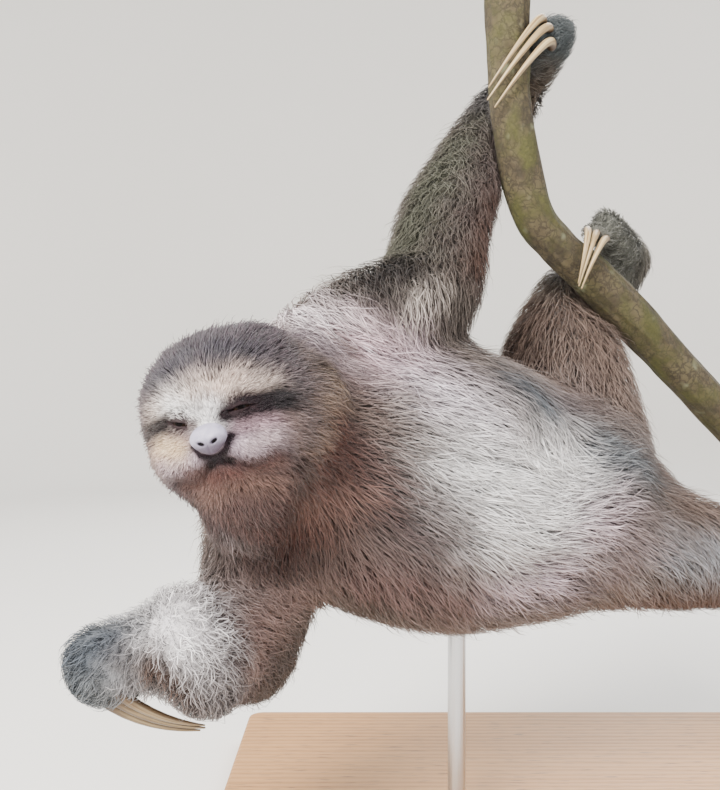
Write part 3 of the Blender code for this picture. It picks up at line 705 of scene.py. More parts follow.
# The face's skin is cut finer in four steps. First the whole face, then eyes, nose and mouth: how far on the
# face, and how far left, down and up in millimetres. Then lids and lips, and the lids once more: how near
# an eye, and how near the crease of the mouth in millimetres.
WIDE_CUTS = [(0.3, 42, -46, 34), (0.8, 28, -34, 13)]
CLOSE_CUTS = [(0.0105, 2.6), (0.0078, 0.0)]
# The slit between the lids: its slant on each side, half its length, half its opening, how far it lies
# under the middle of the eye and how soft its edge is; then the lids' thickness. In millimetres.
SLIT_SLANT = {"left": math.radians(2), "right": math.radians(20)}
SLIT_HALF, SLIT_OPEN, SLIT_DROP, SLIT_EDGE, LID_THICK = 5.0, 0.85, 0.5, 0.09, 0.8
# Across the lids, up from the slit in millimetres: place, reach and height of the rim and of the folds in
# the upper and the lower lid, and half the folds' length.
LID_BUMPS, FOLD_HALF = ((0.3, 0.35, 0.25), (2.1, 0.4, -0.45), (-4.2, 0.4, -0.3)), 7
# How far round the eyeball skin is drawn over it, and how deep the skin behind the slit lies in it. Then the
# crease of the lips: reach in millimetres, and depth.
LID_NEAR, BEHIND_SLIT, LIP_REACH, LIP_DEPTH = 0.006, 0.0012, 0.9, 0.0013


def cut_here(points, step):
    """Whether that step cuts the faces that have those middles."""
    spots, front = on_face(points)
    if step < len(WIDE_CUTS):
        least, left, down, up = WIDE_CUTS[step]
        return (front > least) & (spots[:, 0] < left) & (spots[:, 1] > down) & (spots[:, 1] < up)
    to_eye, to_mouth = CLOSE_CUTS[step - len(WIDE_CUTS)]
    return (from_eyes(points) < to_eye) | ((front > 0.8) & (to_path(spots, MOUTH) < to_mouth))


def cut_finer(points, loops, sizes, step):
    """The mesh with each face that the step chooses cut in four. Faces beside it take the new corners."""
    owner = np.repeat(np.arange(len(sizes)), sizes)
    sums = [np.bincount(owner, points[loops, axis]) for axis in range(3)]
    chosen = cut_here(np.stack(sums, axis=1) / sizes[:, None], step)
    mesh = mesh_of("cut", points, loops, sizes)
    sides = np.unique(read(mesh.loops, "edge_index", np.int32, 1)[chosen[owner]])
    work = bmesh.new()
    work.from_mesh(mesh)
    work.edges.ensure_lookup_table()
    edges = [work.edges[side] for side in sides]
    bmesh.ops.subdivide_edges(work, edges=edges, cuts=1, use_grid_fill=True)
    work.to_mesh(mesh)
    work.free()
    points = read(mesh.vertices, "co", np.float32, 3).astype(float)
    loops = read(mesh.loops, "vertex_index", np.int32, 1).ravel()
    sizes = read(mesh.polygons, "loop_total", np.int32, 1).ravel()
    bpy.data.meshes.remove(mesh)
    return points, loops, sizes


def slit(points, side):
    """Whether each point is in the slit between an eye's lids (0 to 1), how far it is above the slit and how
    far along it, in millimetres. The slit opens by SLIT_OPEN * (1 - (x / SLIT_HALF)^2) to each side."""
    sign = np.sign(EYE_TURN[side])
    across = HEAD_LEFT * sign * math.cos(SLIT_SLANT[side]) + HEAD_UP * math.sin(SLIT_SLANT[side])
    across = unit(across - EYE_AHEAD[side] * (across @ EYE_AHEAD[side]))
    above = np.cross(across, EYE_AHEAD[side]) * -sign
    way = unit(points - EYES[side])
    x, y = way @ across * EYE_RADIUS * 1000, way @ above * EYE_RADIUS * 1000 + SLIT_DROP
    half = SLIT_OPEN * (1 - (x / SLIT_HALF) ** 2)
    inside = rising((half - np.abs(y)) / SLIT_EDGE)
    return inside * (np.abs(x) < SLIT_HALF) * (way @ EYE_AHEAD[side] > 0), y - np.maximum(half, 0), x


def with_lids(points):
    """Skin drawn over each eyeball as an upper and a lower lid, with a rim on the upper one and a fold in
    each, as bumps of height * exp(-(distance / reach)^2) across them, and drawn in behind the slit."""
    for side, eye in EYES.items():
        away = apart(points, eye)
        near = np.flatnonzero(away < EYE_RADIUS + LID_NEAR)
        out = (points[near] - eye) / away[near, None]
        inside, above, x = slit(points[near], side)
        ahead = np.clip(out @ EYE_AHEAD[side] / 0.25, 0, 1)
        rim, *folds = (height * bell(above - place, reach) for place, reach, height in LID_BUMPS)
        fold = sum(folds)
        lid = EYE_RADIUS + (LID_THICK + rim + fold * (1 - (x / FOLD_HALF) ** 2)) * 0.001
        lid = np.maximum(away[near] + fold * 0.0008, lid)
        drawn = lid * (1 - inside) + (EYE_RADIUS - BEHIND_SLIT) * inside
        points[near] = eye + out * (away[near] + (drawn - away[near]) * ahead)[:, None]
    return points


skin_mesh = (skin_points.astype(float), skin_quads.astype(int).ravel(), np.full(len(skin_quads), 4))
for step in range(len(WIDE_CUTS + CLOSE_CUTS)):
    skin_mesh = cut_finer(*skin_mesh, step)
skin_points, skin_loops, skin_sizes = skin_mesh
for _ in range(2):
    skin_points -= outward(under, skin_points) * sample(under, skin_points)[:, None]
spots, front = on_face(skin_points)
crease = LIP_DEPTH * front * bell(to_path(spots, MOUTH), LIP_REACH)
skin_points -= outward(under, skin_points) * crease[:, None]
skin_points = with_lids(skin_points)

# ---------------------------------------------------------------------------------------------
# Markings, shared by the skin and the coat. Each is a soft-edged streak of colour between two places on
# the body, laid over the colour of that limb: grey-brown back and limbs, a pale belly, a brown throat,
# and on the face a white bridge and brow, a dark stripe out from each eye and a dark band over the brow.
# Among them is painted light: painted sunlight pales the nape, the belly, a blaze on the flank, the reaching
# forearm and the right of the face, and painted shade darkens the throat, the lower chest, the creases of
# the neck and the raised arm, the mouth and the edge of the nose pad.

LIMB_COLOURS = {
    "head": "#5a5056", "neck": "#77675f", "trunk": "#7b6f6a", "tail": "#84756c", "upper_arm": "#524b46",
    "forearm": "#4f4543", "hand": "#4d5355", "thigh": "#66564e", "shank": "#4f443c", "foot": "#6a6b64",
}
# On the body: from, to and reach in millimetres, strength, colour.
MARKINGS_AND_PAINTED_LIGHT = [
    # Nape and shoulder, pinkish, and pale on top as painted sunlight.
    ((-245, -124, 360), (-220, -138, 352), 20, 1.0, "#e6dade"),
    ((-198, -138, 342), (-165, -120, 338), 20, 0.8, "#efd0da"),
    # Side of the head: slate crown, olive temple and a tan ruff, with painted shade where it lies against
    # the neck.
    ((-240, -150, 340), (-222, -150, 336), 13, 0.9, "#7d7077"),
    ((-222, -162, 326), (-213, -158, 310), 12, 0.9, "#54473a"),
    ((-217, -170, 304), (-220, -180, 286), 12, 0.8, "#a08b78"),
    ((-211, -141, 343), (-203, -143, 318), 6, 0.8, "#57433a"),
    ((-202, -146, 308), (-203, -158, 286), 6, 0.6, "#513c35"),
    # Painted shade, nearly black, in the fold of the raised arm, and the long cream hair that hangs in it.
    ((-190, -105, 382), (-172, -86, 395), 16, 0.9, "#1c1719"),
    ((-166, -104, 368), (-152, -96, 380), 10, 0.8, "#c2b8b0"),
    # Raised arm: greenish with algae outside, reddish inside.
    ((-168, -55, 412), (-128, -18, 510), 20, 0.8, "#575a4d"),
    ((-120, -66, 396), (-100, -28, 450), 15, 0.8, "#523b32"),
    # Flank: a bluish white blaze, partly painted sunlight, then a dark blue-grey whorl before the thigh.
    ((-160, -128, 325), (-130, -125, 305), 24, 0.8, "#e8dfe8"),
    ((-100, -85, 325), (-85, -80, 308), 21, 0.9, "#39454f"),
    ((-62, -62, 312), (-45, -35, 322), 17, 0.7, "#453a42"),
    # Belly, nearly white, its brightness partly painted sunlight, and mauve around it.
    ((-140, -138, 262), (-60, -100, 262), 34, 1.0, "#f3f2f3"),
    ((-120, -128, 232), (-75, -112, 230), 26, 0.8, "#f3f2f3"),
    ((-40, -70, 275), (0, -45, 265), 24, 0.8, "#667077"),
    ((-55, -90, 228), (-35, -80, 235), 22, 0.7, "#c6b2bb"),
    ((-115, -105, 192), (-75, -88, 192), 16, 0.9, "#c9b8c0"),
    ((10, -50, 205), (45, -35, 200), 20, 0.8, "#92969d"),
    ((-55, -72, 184), (-12, -60, 212), 16, 0.7, "#918284"),
    # Lower chest and flank, darker, partly as painted shade, and olive.
    ((-200, -155, 262), (-160, -145, 225), 30, 0.85, "#443030"),
    ((-205, -140, 205), (-140, -115, 185), 22, 0.7, "#6e4f4d"),
    ((-10, -36, 165), (60, -20, 160), 18, 0.7, "#74625f"),
    # Throat and the side of the neck: brown, darkened further by painted shade.
    ((-246, -190, 245), (-240, -155, 225), 28, 1.0, "#2b1411"),
    ((-215, -168, 285), (-225, -160, 250), 20, 0.8, "#4a251f"),
    ((-262, -192, 250), (-254, -188, 238), 13, 0.8, "#533733"),
    ((-270, -178, 246), (-266, -168, 226), 16, 0.9, "#4a332f"),
    ((-224, -162, 252), (-205, -158, 255), 14, 0.7, "#86685f"),
    # Reaching arm: a bright forearm, partly painted sunlight, a slate hand and a brown palm.
    ((-290, -200, 192), (-300, -180, 176), 30, 1.0, "#f3f0f3"),
    ((-352, -178, 172), (-327, -192, 183), 19, 1.0, "#4d545d"),
    ((-308, -197, 166), (-290, -186, 153), 17, 1.0, "#4c3a32"),
    ((-262, -150, 170), (-250, -130, 200), 24, 0.8, "#947a74"),
    # Gripping hand and foot.
    ((-52, -15, 560), (-45, -10, 585), 20, 0.7, "#4f5557"),
    ((-72, 2, 535), (-78, 6, 520), 16, 0.7, "#5c4b39"),
]
# On the face, in millimetres to its left and up from between the eyes: which sides, from, to, reach,
# strength, colour. The right of the bridge and the right cheek are the palest, partly as painted sunlight,
# and a dark stripe runs out from each eye.
FACE_MARKINGS_AND_PAINTED_LIGHT = [
    ("both", (-6, 15), (30, 9), 9, 0.9, "#d8c6bb"), ("both", (6, 32), (40, 20), 8, 0.8, "#3c3b45"),
    ("both", (40, 20), (50, 4), 9, 0.6, "#5d4d50"), ("both", (36, -8), (42, -25), 9, 0.6, "#a38b82"),
    # The right of the bridge: white, with painted sunlight on it.
    ("right", (-17, 8), (-3, -4), 9, 0.95, "#f3f3f3"), ("left", (3, 4), (4, -6), 6, 0.7, "#f3f1f3"),
    ("left", (10, 12), (18, 16), 6, 0.5, "#e7cfc2"), ("both", (14, -9), (28, -11), 6, 0.8, "#b2949e"),
    ("both", (9, -18), (17, -21), 5, 0.9, "#dcc8d6"), ("both", (17, -20), (28, -18), 5, 0.8, "#e2ccd2"),
    ("right", (-28, -8), (-19, -12), 6.5, 1.0, "#f0d6b4"),
    ("right", (-17, -25), (-9, -27), 4.5, 0.8, "#5a3a34"), ("both", (2, -36), (26, -42), 9, 0.9, "#8b6b60"),
    ("both", (0, -49), (28, -56), 9, 0.85, "#5c4440"), ("both", (-2, -29), (6, -31), 4, 0.8, "#6a453f"),
    ("both", (13, -31), (26, -30), 3.5, 0.8, "#7a5c54"), ("left", (17, 0), (34, -1), 5.4, 1.6, "#1d1119"),
    ("left", (35, -1), (54, -6), 5.2, 1.4, "#272226"), ("left", (8, -2), (16, -1), 3.4, 1.6, "#22151b"),
    ("right", (-19, 0), (-8, -3), 3.4, 0.8, "#6b5655"), ("right", (-54, 0), (-24, 2), 5.0, 1.2, "#2d2627"),
]
# Thin dark lines of painted shade: the crease of the mouth, darkest in its middle, and the edge of the nose
# pad.
FACE_LINES = [
    ("both", *MOUTH, 1.9, 0.75, "#4a2f2c"), ("both", *MOUTH[:2], 1.9, 1.4, "#241518"),
    ("both", (9.5, -13), (6.5, -18.5), (0, -22), 1.9, 1.4, "#241820"),
]


def over(colours, new, cover):
    """Linear colours with a new one laid over them: colour + (new - colour) * cover."""
    return colours + (linear(new) - colours) * cover[:, None]


def ragged(points):
    """Places moved up to 5 mm by crossed sines 10 to 30 mm long, which makes the markings' edges ragged."""
    x, y, z = points.T
    wide = [np.sin(210 * y + 160 * z), np.sin(230 * z + 120 * x + 2), np.sin(190 * x - 170 * y + 4)]
    narrow = [np.sin(520 * z - 300 * y), np.sin(480 * x + 350 * z), np.sin(610 * y - 260 * x)]
    return points + 0.0032 * np.stack(wide, axis=1) + 0.0016 * np.stack(narrow, axis=1)


def markings_and_painted_light(points):
    """Linear colour of skin and coat at each point: the markings, with painted sunlight and painted shade
    among them.
    """
    colours = shares(points) @ np.array([linear(LIMB_COLOURS[kind]) for kind in KINDS])
    moved = ragged(points)
    for start, end, reach, strength, colour in MARKINGS_AND_PAINTED_LIGHT:
        away, _ = to_line(moved, np.array(start) / 1000, np.array(end) / 1000)
        colours = over(colours, colour, strength * bell(away, reach / 1000))
    spots, front = on_face(points)
    sign = np.sign((points - BETWEEN_EYES) @ HEAD_LEFT)
    signed = spots * np.stack([sign, np.ones(len(sign))], axis=1)
    for sides, *path, reach, strength, colour in FACE_MARKINGS_AND_PAINTED_LIGHT + FACE_LINES:
        away = to_path(spots if sides == "both" else signed, path)
        colours = over(colours, colour, front * np.minimum(strength * bell(away, reach), 1))
    return colours


# ---------------------------------------------------------------------------------------------
# The lie of the coat: along each limb, hanging more where the hair is long, out from the nose over the
# face, and turned by a few combed places where the hair parts, whorls or sweeps across the belly.

# Each: the place, the way in which the hair lies there, and the reach. Places and reaches in millimetres.
COMBED = [
    # Over the nape and the shoulder.
    (-206, -136, 353, 90, 43, 4, 26), (-234, -135, 359, 24, -66, -71, 20),
    (-206, -123, 371, 28, -58, -76, 20),
    # Down the raised arm, and the tuft that hangs in its fold.
    (-176, -99, 390, 10, -72, -66, 22), (-157, -104, 368, 10, -5, -99, 22),
    (-153, -47, 454, -29, -58, -76, 30), (-125, -35, 477, -13, -56, -82, 30),
    # Flank: back along the body, then down and forward round the whorl.
    (-147, -117, 319, 93, 7, -37, 28), (-95, -60, 338, 55, -55, -62, 16), (-86, -78, 316, -1, -73, -68, 16),
    (-98, -103, 298, -53, -67, -52, 16), (-42, -5, 349, -5, -53, -84, 30),
    (-13, -4, 335, -11, -63, -77, 26), (-70, -88, 290, -66, -67, -35, 14),
    # Belly: across and sagging, then up towards the hip.
    (-178, -151, 252, 91, 19, -38, 30), (-131, -134, 250, 90, 41, -13, 26),
    (-160, -137, 216, 51, 48, -71, 24), (-188, -132, 198, 20, 61, -77, 24),
    (-118, -124, 222, 77, 43, -46, 20), (-98, -111, 211, 87, 48, -9, 18), (-79, -104, 219, 86, 33, 38, 18),
    (-58, -93, 245, 74, 56, 38, 20), (-33, -71, 259, 71, 68, 17, 22), (-135, -114, 188, 32, 65, -69, 22),
    # Down over the far hip and thigh.
    (-49, -85, 216, 63, 51, -58, 16), (-16, -58, 201, 69, 31, -65, 22), (6, -51, 213, 87, 29, -39, 22),
    (-5, -44, 175, 37, 63, -68, 22),
    # Side of the neck and throat.
    (-208, -163, 291, 57, 72, -39, 24), (-233, -156, 230, -11, 46, -88, 26),
    # Round the reaching forearm, from the wrist outwards and down; the hand's hair falls to its claws.
    (-300, -189, 206, 10, 85, 45, 14), (-301, -197, 199, 45, 35, 30, 12), (-285, -188, 206, 25, 90, 35, 14),
    (-270, -184, 191, 43, 86, -28, 15), (-268, -184, 175, 34, 78, -53, 15),
    (-275, -182, 159, 6, 73, -68, 15), (-288, -183, 154, -18, 82, -54, 15),
    (-287, -203, 188, 75, 6, -66, 14), (-280, -199, 177, 41, 34, -85, 14),
    (-297, -203, 188, 24, -16, -96, 12), (-305, -201, 178, 29, -29, -91, 12),
    (-307, -190, 159, 7, 59, -81, 14), (-317, -194, 165, 4, 48, -88, 12),
    (-316, -195, 186, -53, -2, -85, 14), (-330, -192, 168, -49, 32, -81, 14),
    (-338, -189, 179, -78, 19, -60, 14), (-336, -178, 192, -75, 64, -16, 14),
    (-348, -183, 180, -65, 1, -76, 14),
    # Behind it, over the elbow.
    (-263, -154, 197, 81, 44, -39, 18), (-251, -140, 182, 70, 63, -33, 18),
    (-250, -126, 156, 18, 90, -40, 18), (-262, -146, 145, 11, 84, -53, 18),
    # Over the back of the crown into the nape.
    (-246, -189, 341, 40, 90, 5, 16), (-243, -139, 347, 91, -38, 17, 16),
]
# How strongly the face's hair runs out from its parting over the nose, the combed places turn the lie, and
# the hair runs out from the eyes, and how far it does that.
HAIR_PARTING = NOSE + HEAD_UP * 0.010
FACE_PULL, COMB_PULL, EYE_PULL, EYE_PULL_REACH = 1.2, 3.0, 2.5, 0.009


def lie(points, normals):
    """The direction, along the surface, in which the hair at each point lies: the sum of each limb's own way
    and sag by its share, and of each combed way * exp(-(distance / reach)^2), with its rise taken out."""
    share = shares(points)
    ways = unit(np.array([end - start for start, end, _ in BONES.values()]))
    flow = share @ (ways * COAT_LIE[:, None]) + (share @ COAT_SAG)[:, None] * np.array([0, 0, -1.0])
    flow += share[:, KINDS.index("head")][:, None] * unit(points - HAIR_PARTING) * FACE_PULL
    for row in np.array(COMBED):
        place, way, reach = row[:3] / 1000, row[3:6] / 100, row[6] / 1000
        flow += COMB_PULL * bell(apart(points, place), reach)[:, None] * way
    for eye in EYES.values():
        flow += EYE_PULL * bell(apart(points, eye), EYE_PULL_REACH)[:, None] * unit(points - eye)
    flow -= normals * (flow * normals).sum(axis=1)[:, None]
    return unit(flow)


# ---------------------------------------------------------------------------------------------
# The skin: one seamless tanned hide under the whole coat, in place of the frame's separate body pieces. In
# the face it is worked finer, and drawn into heavy lids over the eyes and the crease of the mouth.

# Soft hide, dry and matt: pores about a millimetre apart and a finer nap keep it from shining.
hide = finish_of("soft_hide")
hide_colour = add(hide, "Attribute", attribute_name="coat_colour").outputs["Color"]
where = add(hide, "TexCoord").outputs["Object"]
pore = add(hide, "TexVoronoi", {"Vector": where, "Scale": 900.0})
nap = add(hide, "TexNoise", {"Vector": where, "Scale": 700.0, "Detail": 4.0})
relief = add(hide, "Math", {0: pore, 1: nap}, operation="ADD")
grained = add(hide, "Bump", {"Height": relief, "Strength": 0.6, "Distance": 0.0006})
hide_shader = add(hide, "BsdfPrincipled", {
    "Base Color": hide_colour, "Roughness": 0.75, "Specular IOR Level": 0.15, "Normal": grained,
})
add(hide, "OutputMaterial", {"Surface": hide_shader})

# The hide's colour is the coat's times this, a painted shade for the skin that lies deep under the coat.
# The lids' bare rims are nearly black: how far from the eyeball that reaches before it fades, how far it
# fades over, how much it covers, and its colour.
SKIN_PAINTED_SHADE = 0.75
LID_RIM, LID_FADE, LID_COVER, LID_COLOUR = 0.0012, 0.0045, 0.95, "#1f1518"
skin_starts = np.cumsum(skin_sizes) - skin_sizes
skin_faces = [
    skin_loops[skin_starts[skin_sizes == size][:, None] + np.arange(size)] for size in np.unique(skin_sizes)
]
skin = piece("skin", skin_points, skin_faces, hide)
lid_dark = bell(np.maximum(from_eyes(skin_points) - EYE_RADIUS - LID_RIM, 0), LID_FADE)
# Painted shade: the skin is darker than the coat over it.
skin_colours = over(markings_and_painted_light(skin_points) * SKIN_PAINTED_SHADE, LID_COLOUR, LID_COVER * lid_dark)
keep(skin, "coat_colour", skin_colours, "FLOAT_COLOR")
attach(skin, "root")
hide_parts(*BONES)

# ---------------------------------------------------------------------------------------------
# The coat, in two layers: a soft short undercoat, and over it long coarse outer hair that draws together
# in wisps. On the face, hands and feet it is all short. Each lock is a closed three-sided spike that
# leaves the skin, lies along the body and ends in a point.

# Room between the locks and the bark, how near the bark's box locks are looked at, and how many at a time.
STEM_ROOM, PATH_NEAR, PATH_POINTS = 0.0009, 0.03, 4000
# Locks to a square centimetre: undercoat, outer hair.
LOCKS_PER_CM2 = {
    "head": (122, 20), "neck": (21, 18), "trunk": (14, 14), "tail": (24, 18), "upper_arm": (16, 13),
    "forearm": (19, 20), "hand": (40, 8), "thigh": (14, 12), "shank": (16, 14), "foot": (38, 8),
}
# Each layer: rings to a lock, length and width against the limb's own, spread of the heading, bend, how
# far up the tips come (1 is the outline), and the shade at each ring from the root to the tip: a painted
# shade of the coat's depth, darkest at the root and paler at the tip.
LAYERS = {
    "undercoat": (2, 0.62, 1.25, 0.30, 0.20, (0.45, 0.88), (0.62, 0.86, 0.98)),
    "outer": (3, 1.00, 0.78, 0.20, 0.16, (0.72, 1.10), (0.55, 0.86, 1.04, 1.20)),
}
# Round the nose the undercoat is denser by this much, and the outer hair leaves off: reach of each.
NOSE_DENSER, NOSE_DENSE_REACH, NOSE_FREE_REACH = 1.4, 0.035, 0.045
# Longest hair at the nose, over the cheeks, at the lids and at the lips: the least, its growth with the
# distance, and where that starts. Then the widest a lock may be for its length.
NOSE_HAIR, CHEEK_HAIR = (0.0022, 0.16, 0.009), (0, 0.30, 0.030)
LID_HAIR, LIP_HAIR, LOCK_WIDTH = (0.0020, 0.40, 0.007), (0.0022, 0.45, 0), (0.00020, 0.026, 0)
# The whorl of the reaching forearm, where the hair parts every way, is shorter and frizzier: place, reach,
# share cut off, frizz added, then the reach and frizz of its heart.
WHORL, WHORL_REACH, WHORL_CUT, WHORL_FRIZZ = np.array([-0.299, -0.197, 0.198]), 0.045, 0.45, 1.5
WHORL_HEART, HEART_FRIZZ = 0.016, 4.0
# Shares of locks that stray from the rest, and that are pale or dark; how far strays rise, their width.
STRAY_SHARE, PALE_SHARE, DARK_SHARE = 0.05, 0.10, 0.08
STRAY_RISE, STRAY_WIDTH, PALE, DARK = (1.10, 1.60), 0.6, 1.3, 0.6
# Spread of the locks' lengths and widths, how deep they root, and how much of a step's heading is kept.
LENGTHS, WIDTHS, ROOT_DEPTH, HEADING_KEPT = (0.65, 1.25), (0.7, 1.25), 0.0004, 0.6
# Wisps: their width against the length of the hair, least and most width, how far their locks draw together,
# and the spread of tone from lock to lock and from wisp to wisp.
WISP_SHARE, WISP_SIZES, WISP_PULL, LOCK_TONE, WISP_TONE = 0.30, (0.0025, 0.0080), (0.0, 0.55), 0.10, 0.12
# A lock's width at the root, a third of the way up and at the tip; its ridge's height; its darkest and
# palest colour.
LOCK_TAPER, LOCK_RIDGE, COLOUR_RANGE = [0.75, 1.0, 0.35], 0.75, (0.003, 0.92)
rng = np.random.default_rng(7)


def scattered(layer):
    """Random places on the skin, as many to a square centimetre as that layer and limb need, even over each
    triangle: a + (b - a) sqrt(r) (1 - s) + (c - a) sqrt(r) s."""
    a, b, c = (skin_points[corner] for corner in triangles(skin.data).T)
    area = np.linalg.norm(np.cross(b - a, c - a), axis=1) / 2
    middle = (a + b + c) / 3
    per_area = shares(middle) @ np.array([LOCKS_PER_CM2[kind][layer] for kind in KINDS]) * 1e4
    if layer == 0:
        per_area *= 1 + NOSE_DENSER * bell(apart(middle, NOSE), NOSE_DENSE_REACH)
    else:
        per_area *= 1 - bell(apart(middle, NOSE), NOSE_FREE_REACH, 4)
    wanted = area * per_area * 1.0
    chosen = rng.choice(len(middle), int(wanted.sum()), p=wanted / wanted.sum())
    r, s = rng.random((2, len(chosen)))
    r = np.sqrt(r)
    return a[chosen] * (1 - r)[:, None] + b[chosen] * (r * (1 - s))[:, None] + c[chosen] * (r * s)[:, None]


def turned(vectors, axes, angle):
    """Vectors turned about the axes by the angle (Rodrigues' formula, for vectors across the axes)."""
    return vectors * np.cos(angle)[:, None] + np.cross(axes, vectors) * np.sin(angle)[:, None]


def near_path(points, path):
    """The offset of each point from the nearest point of a path."""
    out = np.empty_like(points)
    for part in np.array_split(np.arange(len(points)), max(1, len(points) // PATH_POINTS)):
        nearest = ((points[part, None] - path[None]) ** 2).sum(axis=2).argmin(axis=1)
        out[part] = points[part] - path[nearest]
    return out


def kept_clear(line, path, room):
    """Locks pushed out to the given distance from a path. Only those that come near it are looked at."""
    low, high = path.min(axis=0) - PATH_NEAR, path.max(axis=0) + PATH_NEAR
    near = np.flatnonzero(((line[:, -1] > low) & (line[:, -1] < high)).all(axis=1))
    for k in range(1, line.shape[1]):
        away = near_path(line[near, k], path)
        gap = np.linalg.norm(away, axis=1)
        line[near, k] += unit(away) * np.maximum(room - gap, 0)[:, None]


def wave(points):
    """A slow turn of the hair's heading from place to place: crossed sines 20 to 50 mm long."""
    x, y, z = points.T
    return (0.20 * np.sin(230 * x + 140 * z + 1.0) * np.cos(190 * y - 90 * z)
            + 0.16 * np.sin(410 * z - 260 * x + 2.0) + 0.10 * np.sin(610 * x + 500 * y))


def grown(roots, layer):
    """Spikes and colours of one layer's locks. Each starts in the skin, follows the lie of the coat in equal
    steps and rises under the outline: after step k its depth is depth * (1 - rise * sin(k / steps * 90
    degrees)^0.8). Then the wisps of neighbours draw together, most at their tips."""
    steps, longer, wider, spread, bend, heights, depth_painted_shade = layer
    count = len(roots)
    share = shares(roots)
    from_nose, from_whorl = apart(roots, NOSE), apart(roots, WHORL)
    spots, front = on_face(roots)
    from_mouth = np.where(front > 0.5, to_path(spots, MOUTH), 99.0) * 0.001
    length = share @ COAT_LENGTH * longer
    length = np.minimum(length, growing(from_nose, *NOSE_HAIR) + growing(from_nose, *CHEEK_HAIR))
    length = np.minimum(length, growing(from_eyes(roots), *LID_HAIR))
    length = np.minimum(length, growing(from_mouth, *LIP_HAIR))
    length *= 1 - WHORL_CUT * bell(from_whorl, WHORL_REACH, 4)
    width = np.minimum(share @ COAT_WIDTH * wider, growing(length, *LOCK_WIDTH))
    length *= rng.uniform(*LENGTHS, count)
    width *= rng.uniform(*WIDTHS, count)
    depth = -sample(outline, roots)
    stray = rng.random(count) < STRAY_SHARE * np.clip((length - 0.012) / 0.012, 0.15, 1)
    rise = np.where(stray, rng.uniform(*STRAY_RISE, count), rng.uniform(*heights, count))
    width[stray] *= STRAY_WIDTH

    normals = outward(outline, roots)
    frizz = share @ COAT_FRIZZ
    frizz += HEART_FRIZZ * bell(from_whorl, WHORL_HEART) + WHORL_FRIZZ * bell(from_whorl, WHORL_REACH, 4)
    turn = rng.normal(0, spread, count) * frizz + wave(roots)
    heading = turned(lie(roots, normals), normals, turn)
    curl = rng.normal(0, bend, count) * frizz
    line = [roots - normals * ROOT_DEPTH]
    lift = np.sin(np.linspace(0, math.pi / 2, steps + 1)) ** 0.8
    for k in range(1, steps + 1):
        ahead = line[-1] + heading * (length / steps)[:, None]
        up = outward(outline, ahead)
        goal = -depth * (1 - rise * lift[k])
        shift = np.clip(goal - sample(outline, ahead), -0.5 * length, 0.5 * length)
        ahead = ahead + up * shift[:, None]
        line.append(ahead)
        blend = HEADING_KEPT * heading + (1 - HEADING_KEPT) * lie(ahead, up)
        heading = turned(unit(blend), up, curl)
    line = np.stack(line, axis=1)

    # Wisps: locks whose roots fall in one cell of space, with wavy borders, given one number by a hash.
    wisp = np.clip(WISP_SHARE * length, *WISP_SIZES)
    wavy = roots + 0.3 * wisp[:, None] * np.sin(roots[:, [1, 2, 0]] * 900)
    cell = np.floor(wavy / np.median(wisp)).astype(int)
    _, wisp_of = np.unique(cell @ np.array([73856093, 19349663, 83492791]), return_inverse=True)
    wisp_of = wisp_of.reshape(-1)
    members = np.bincount(wisp_of).astype(float)
    tips = line[:, -1]
    middle = np.stack([np.bincount(wisp_of, tips[:, axis]) for axis in range(3)], axis=1) / members[:, None]
    pull = np.where(stray, 0.0, rng.uniform(*WISP_PULL, count))[:, None] * (middle[wisp_of] - tips)
    line += pull[:, None] * (np.linspace(0, 1, steps + 1) ** 2)[None, :, None]

    kept_clear(line, stem_line[::3], STEM_GIRTH[1] + STEM_ROOM)

    # Cross-section: a low ridge, widest a third of the way up, pointed at the tip.
    way = unit(np.gradient(line, axis=1))
    side = unit(np.cross(way, normals[:, None]))
    ridge = np.cross(side, way)
    taper = np.interp(np.arange(steps) / steps, [0, 1 / 3, 1], LOCK_TAPER)
    girth = (taper[None] * width[:, None] / 2)[..., None]
    profile = (-side[:, :steps], ridge[:, :steps] * LOCK_RIDGE, side[:, :steps])
    spikes = np.stack([line[:, :steps] + p * girth for p in profile], axis=2)
    spikes = np.concatenate([spikes.reshape(count, -1, 3), line[:, -1:]], axis=1)

    tone = rng.normal(1.0, LOCK_TONE, count)
    tone *= np.where(rng.random(count) < DARK_SHARE, DARK, 1.0)
    tone *= np.where(rng.random(count) < PALE_SHARE, PALE, 1.0)
    tone *= rng.normal(1.0, WISP_TONE, len(members))[wisp_of]
    # Each ring's colour carries painted shade: darkest at the root, deep in the coat, and pale at the tip.
    colours = markings_and_painted_light(line[:, 1])[:, None] * np.array(depth_painted_shade)[None, :, None] * tone[:, None, None]
    colours = np.clip(colours, *COLOUR_RANGE)
    return spikes, np.concatenate([np.repeat(colours[:, :steps], 3, axis=1), colours[:, -1:]], axis=1)


def spike_faces(steps):
    """Faces of one lock and each corner's place in its patch: the sides, then the point and the root cap."""
    turn = np.arange(3)
    after = (turn + 1) % 3
    quads = [np.stack([turn, after, after + 3, turn + 3], axis=1) + 3 * k for k in range(steps - 1)]
    quad_uv = [[(j, k), (j + 1, k), (j + 1, k + 1), (j, k + 1)] for k in range(steps - 1) for j in turn]
    last = 3 * (steps - 1)
    tips = np.stack([turn + last, after + last, np.full(3, 3 * steps)], axis=1)
    tip_uv = [[(j, steps - 1), (j + 1, steps - 1), (j + 0.5, steps)] for j in turn]
    ends = np.vstack([tips, [[2, 1, 0]]])
    end_uv = [*tip_uv, [(0, 0), (1.5, 0), (3, 0)]]
    quad_uv, end_uv = (np.reshape(uv, (-1, 2)) / (3, steps) for uv in (quad_uv, end_uv))
    return np.vstack(quads), ends, quad_uv, end_uv


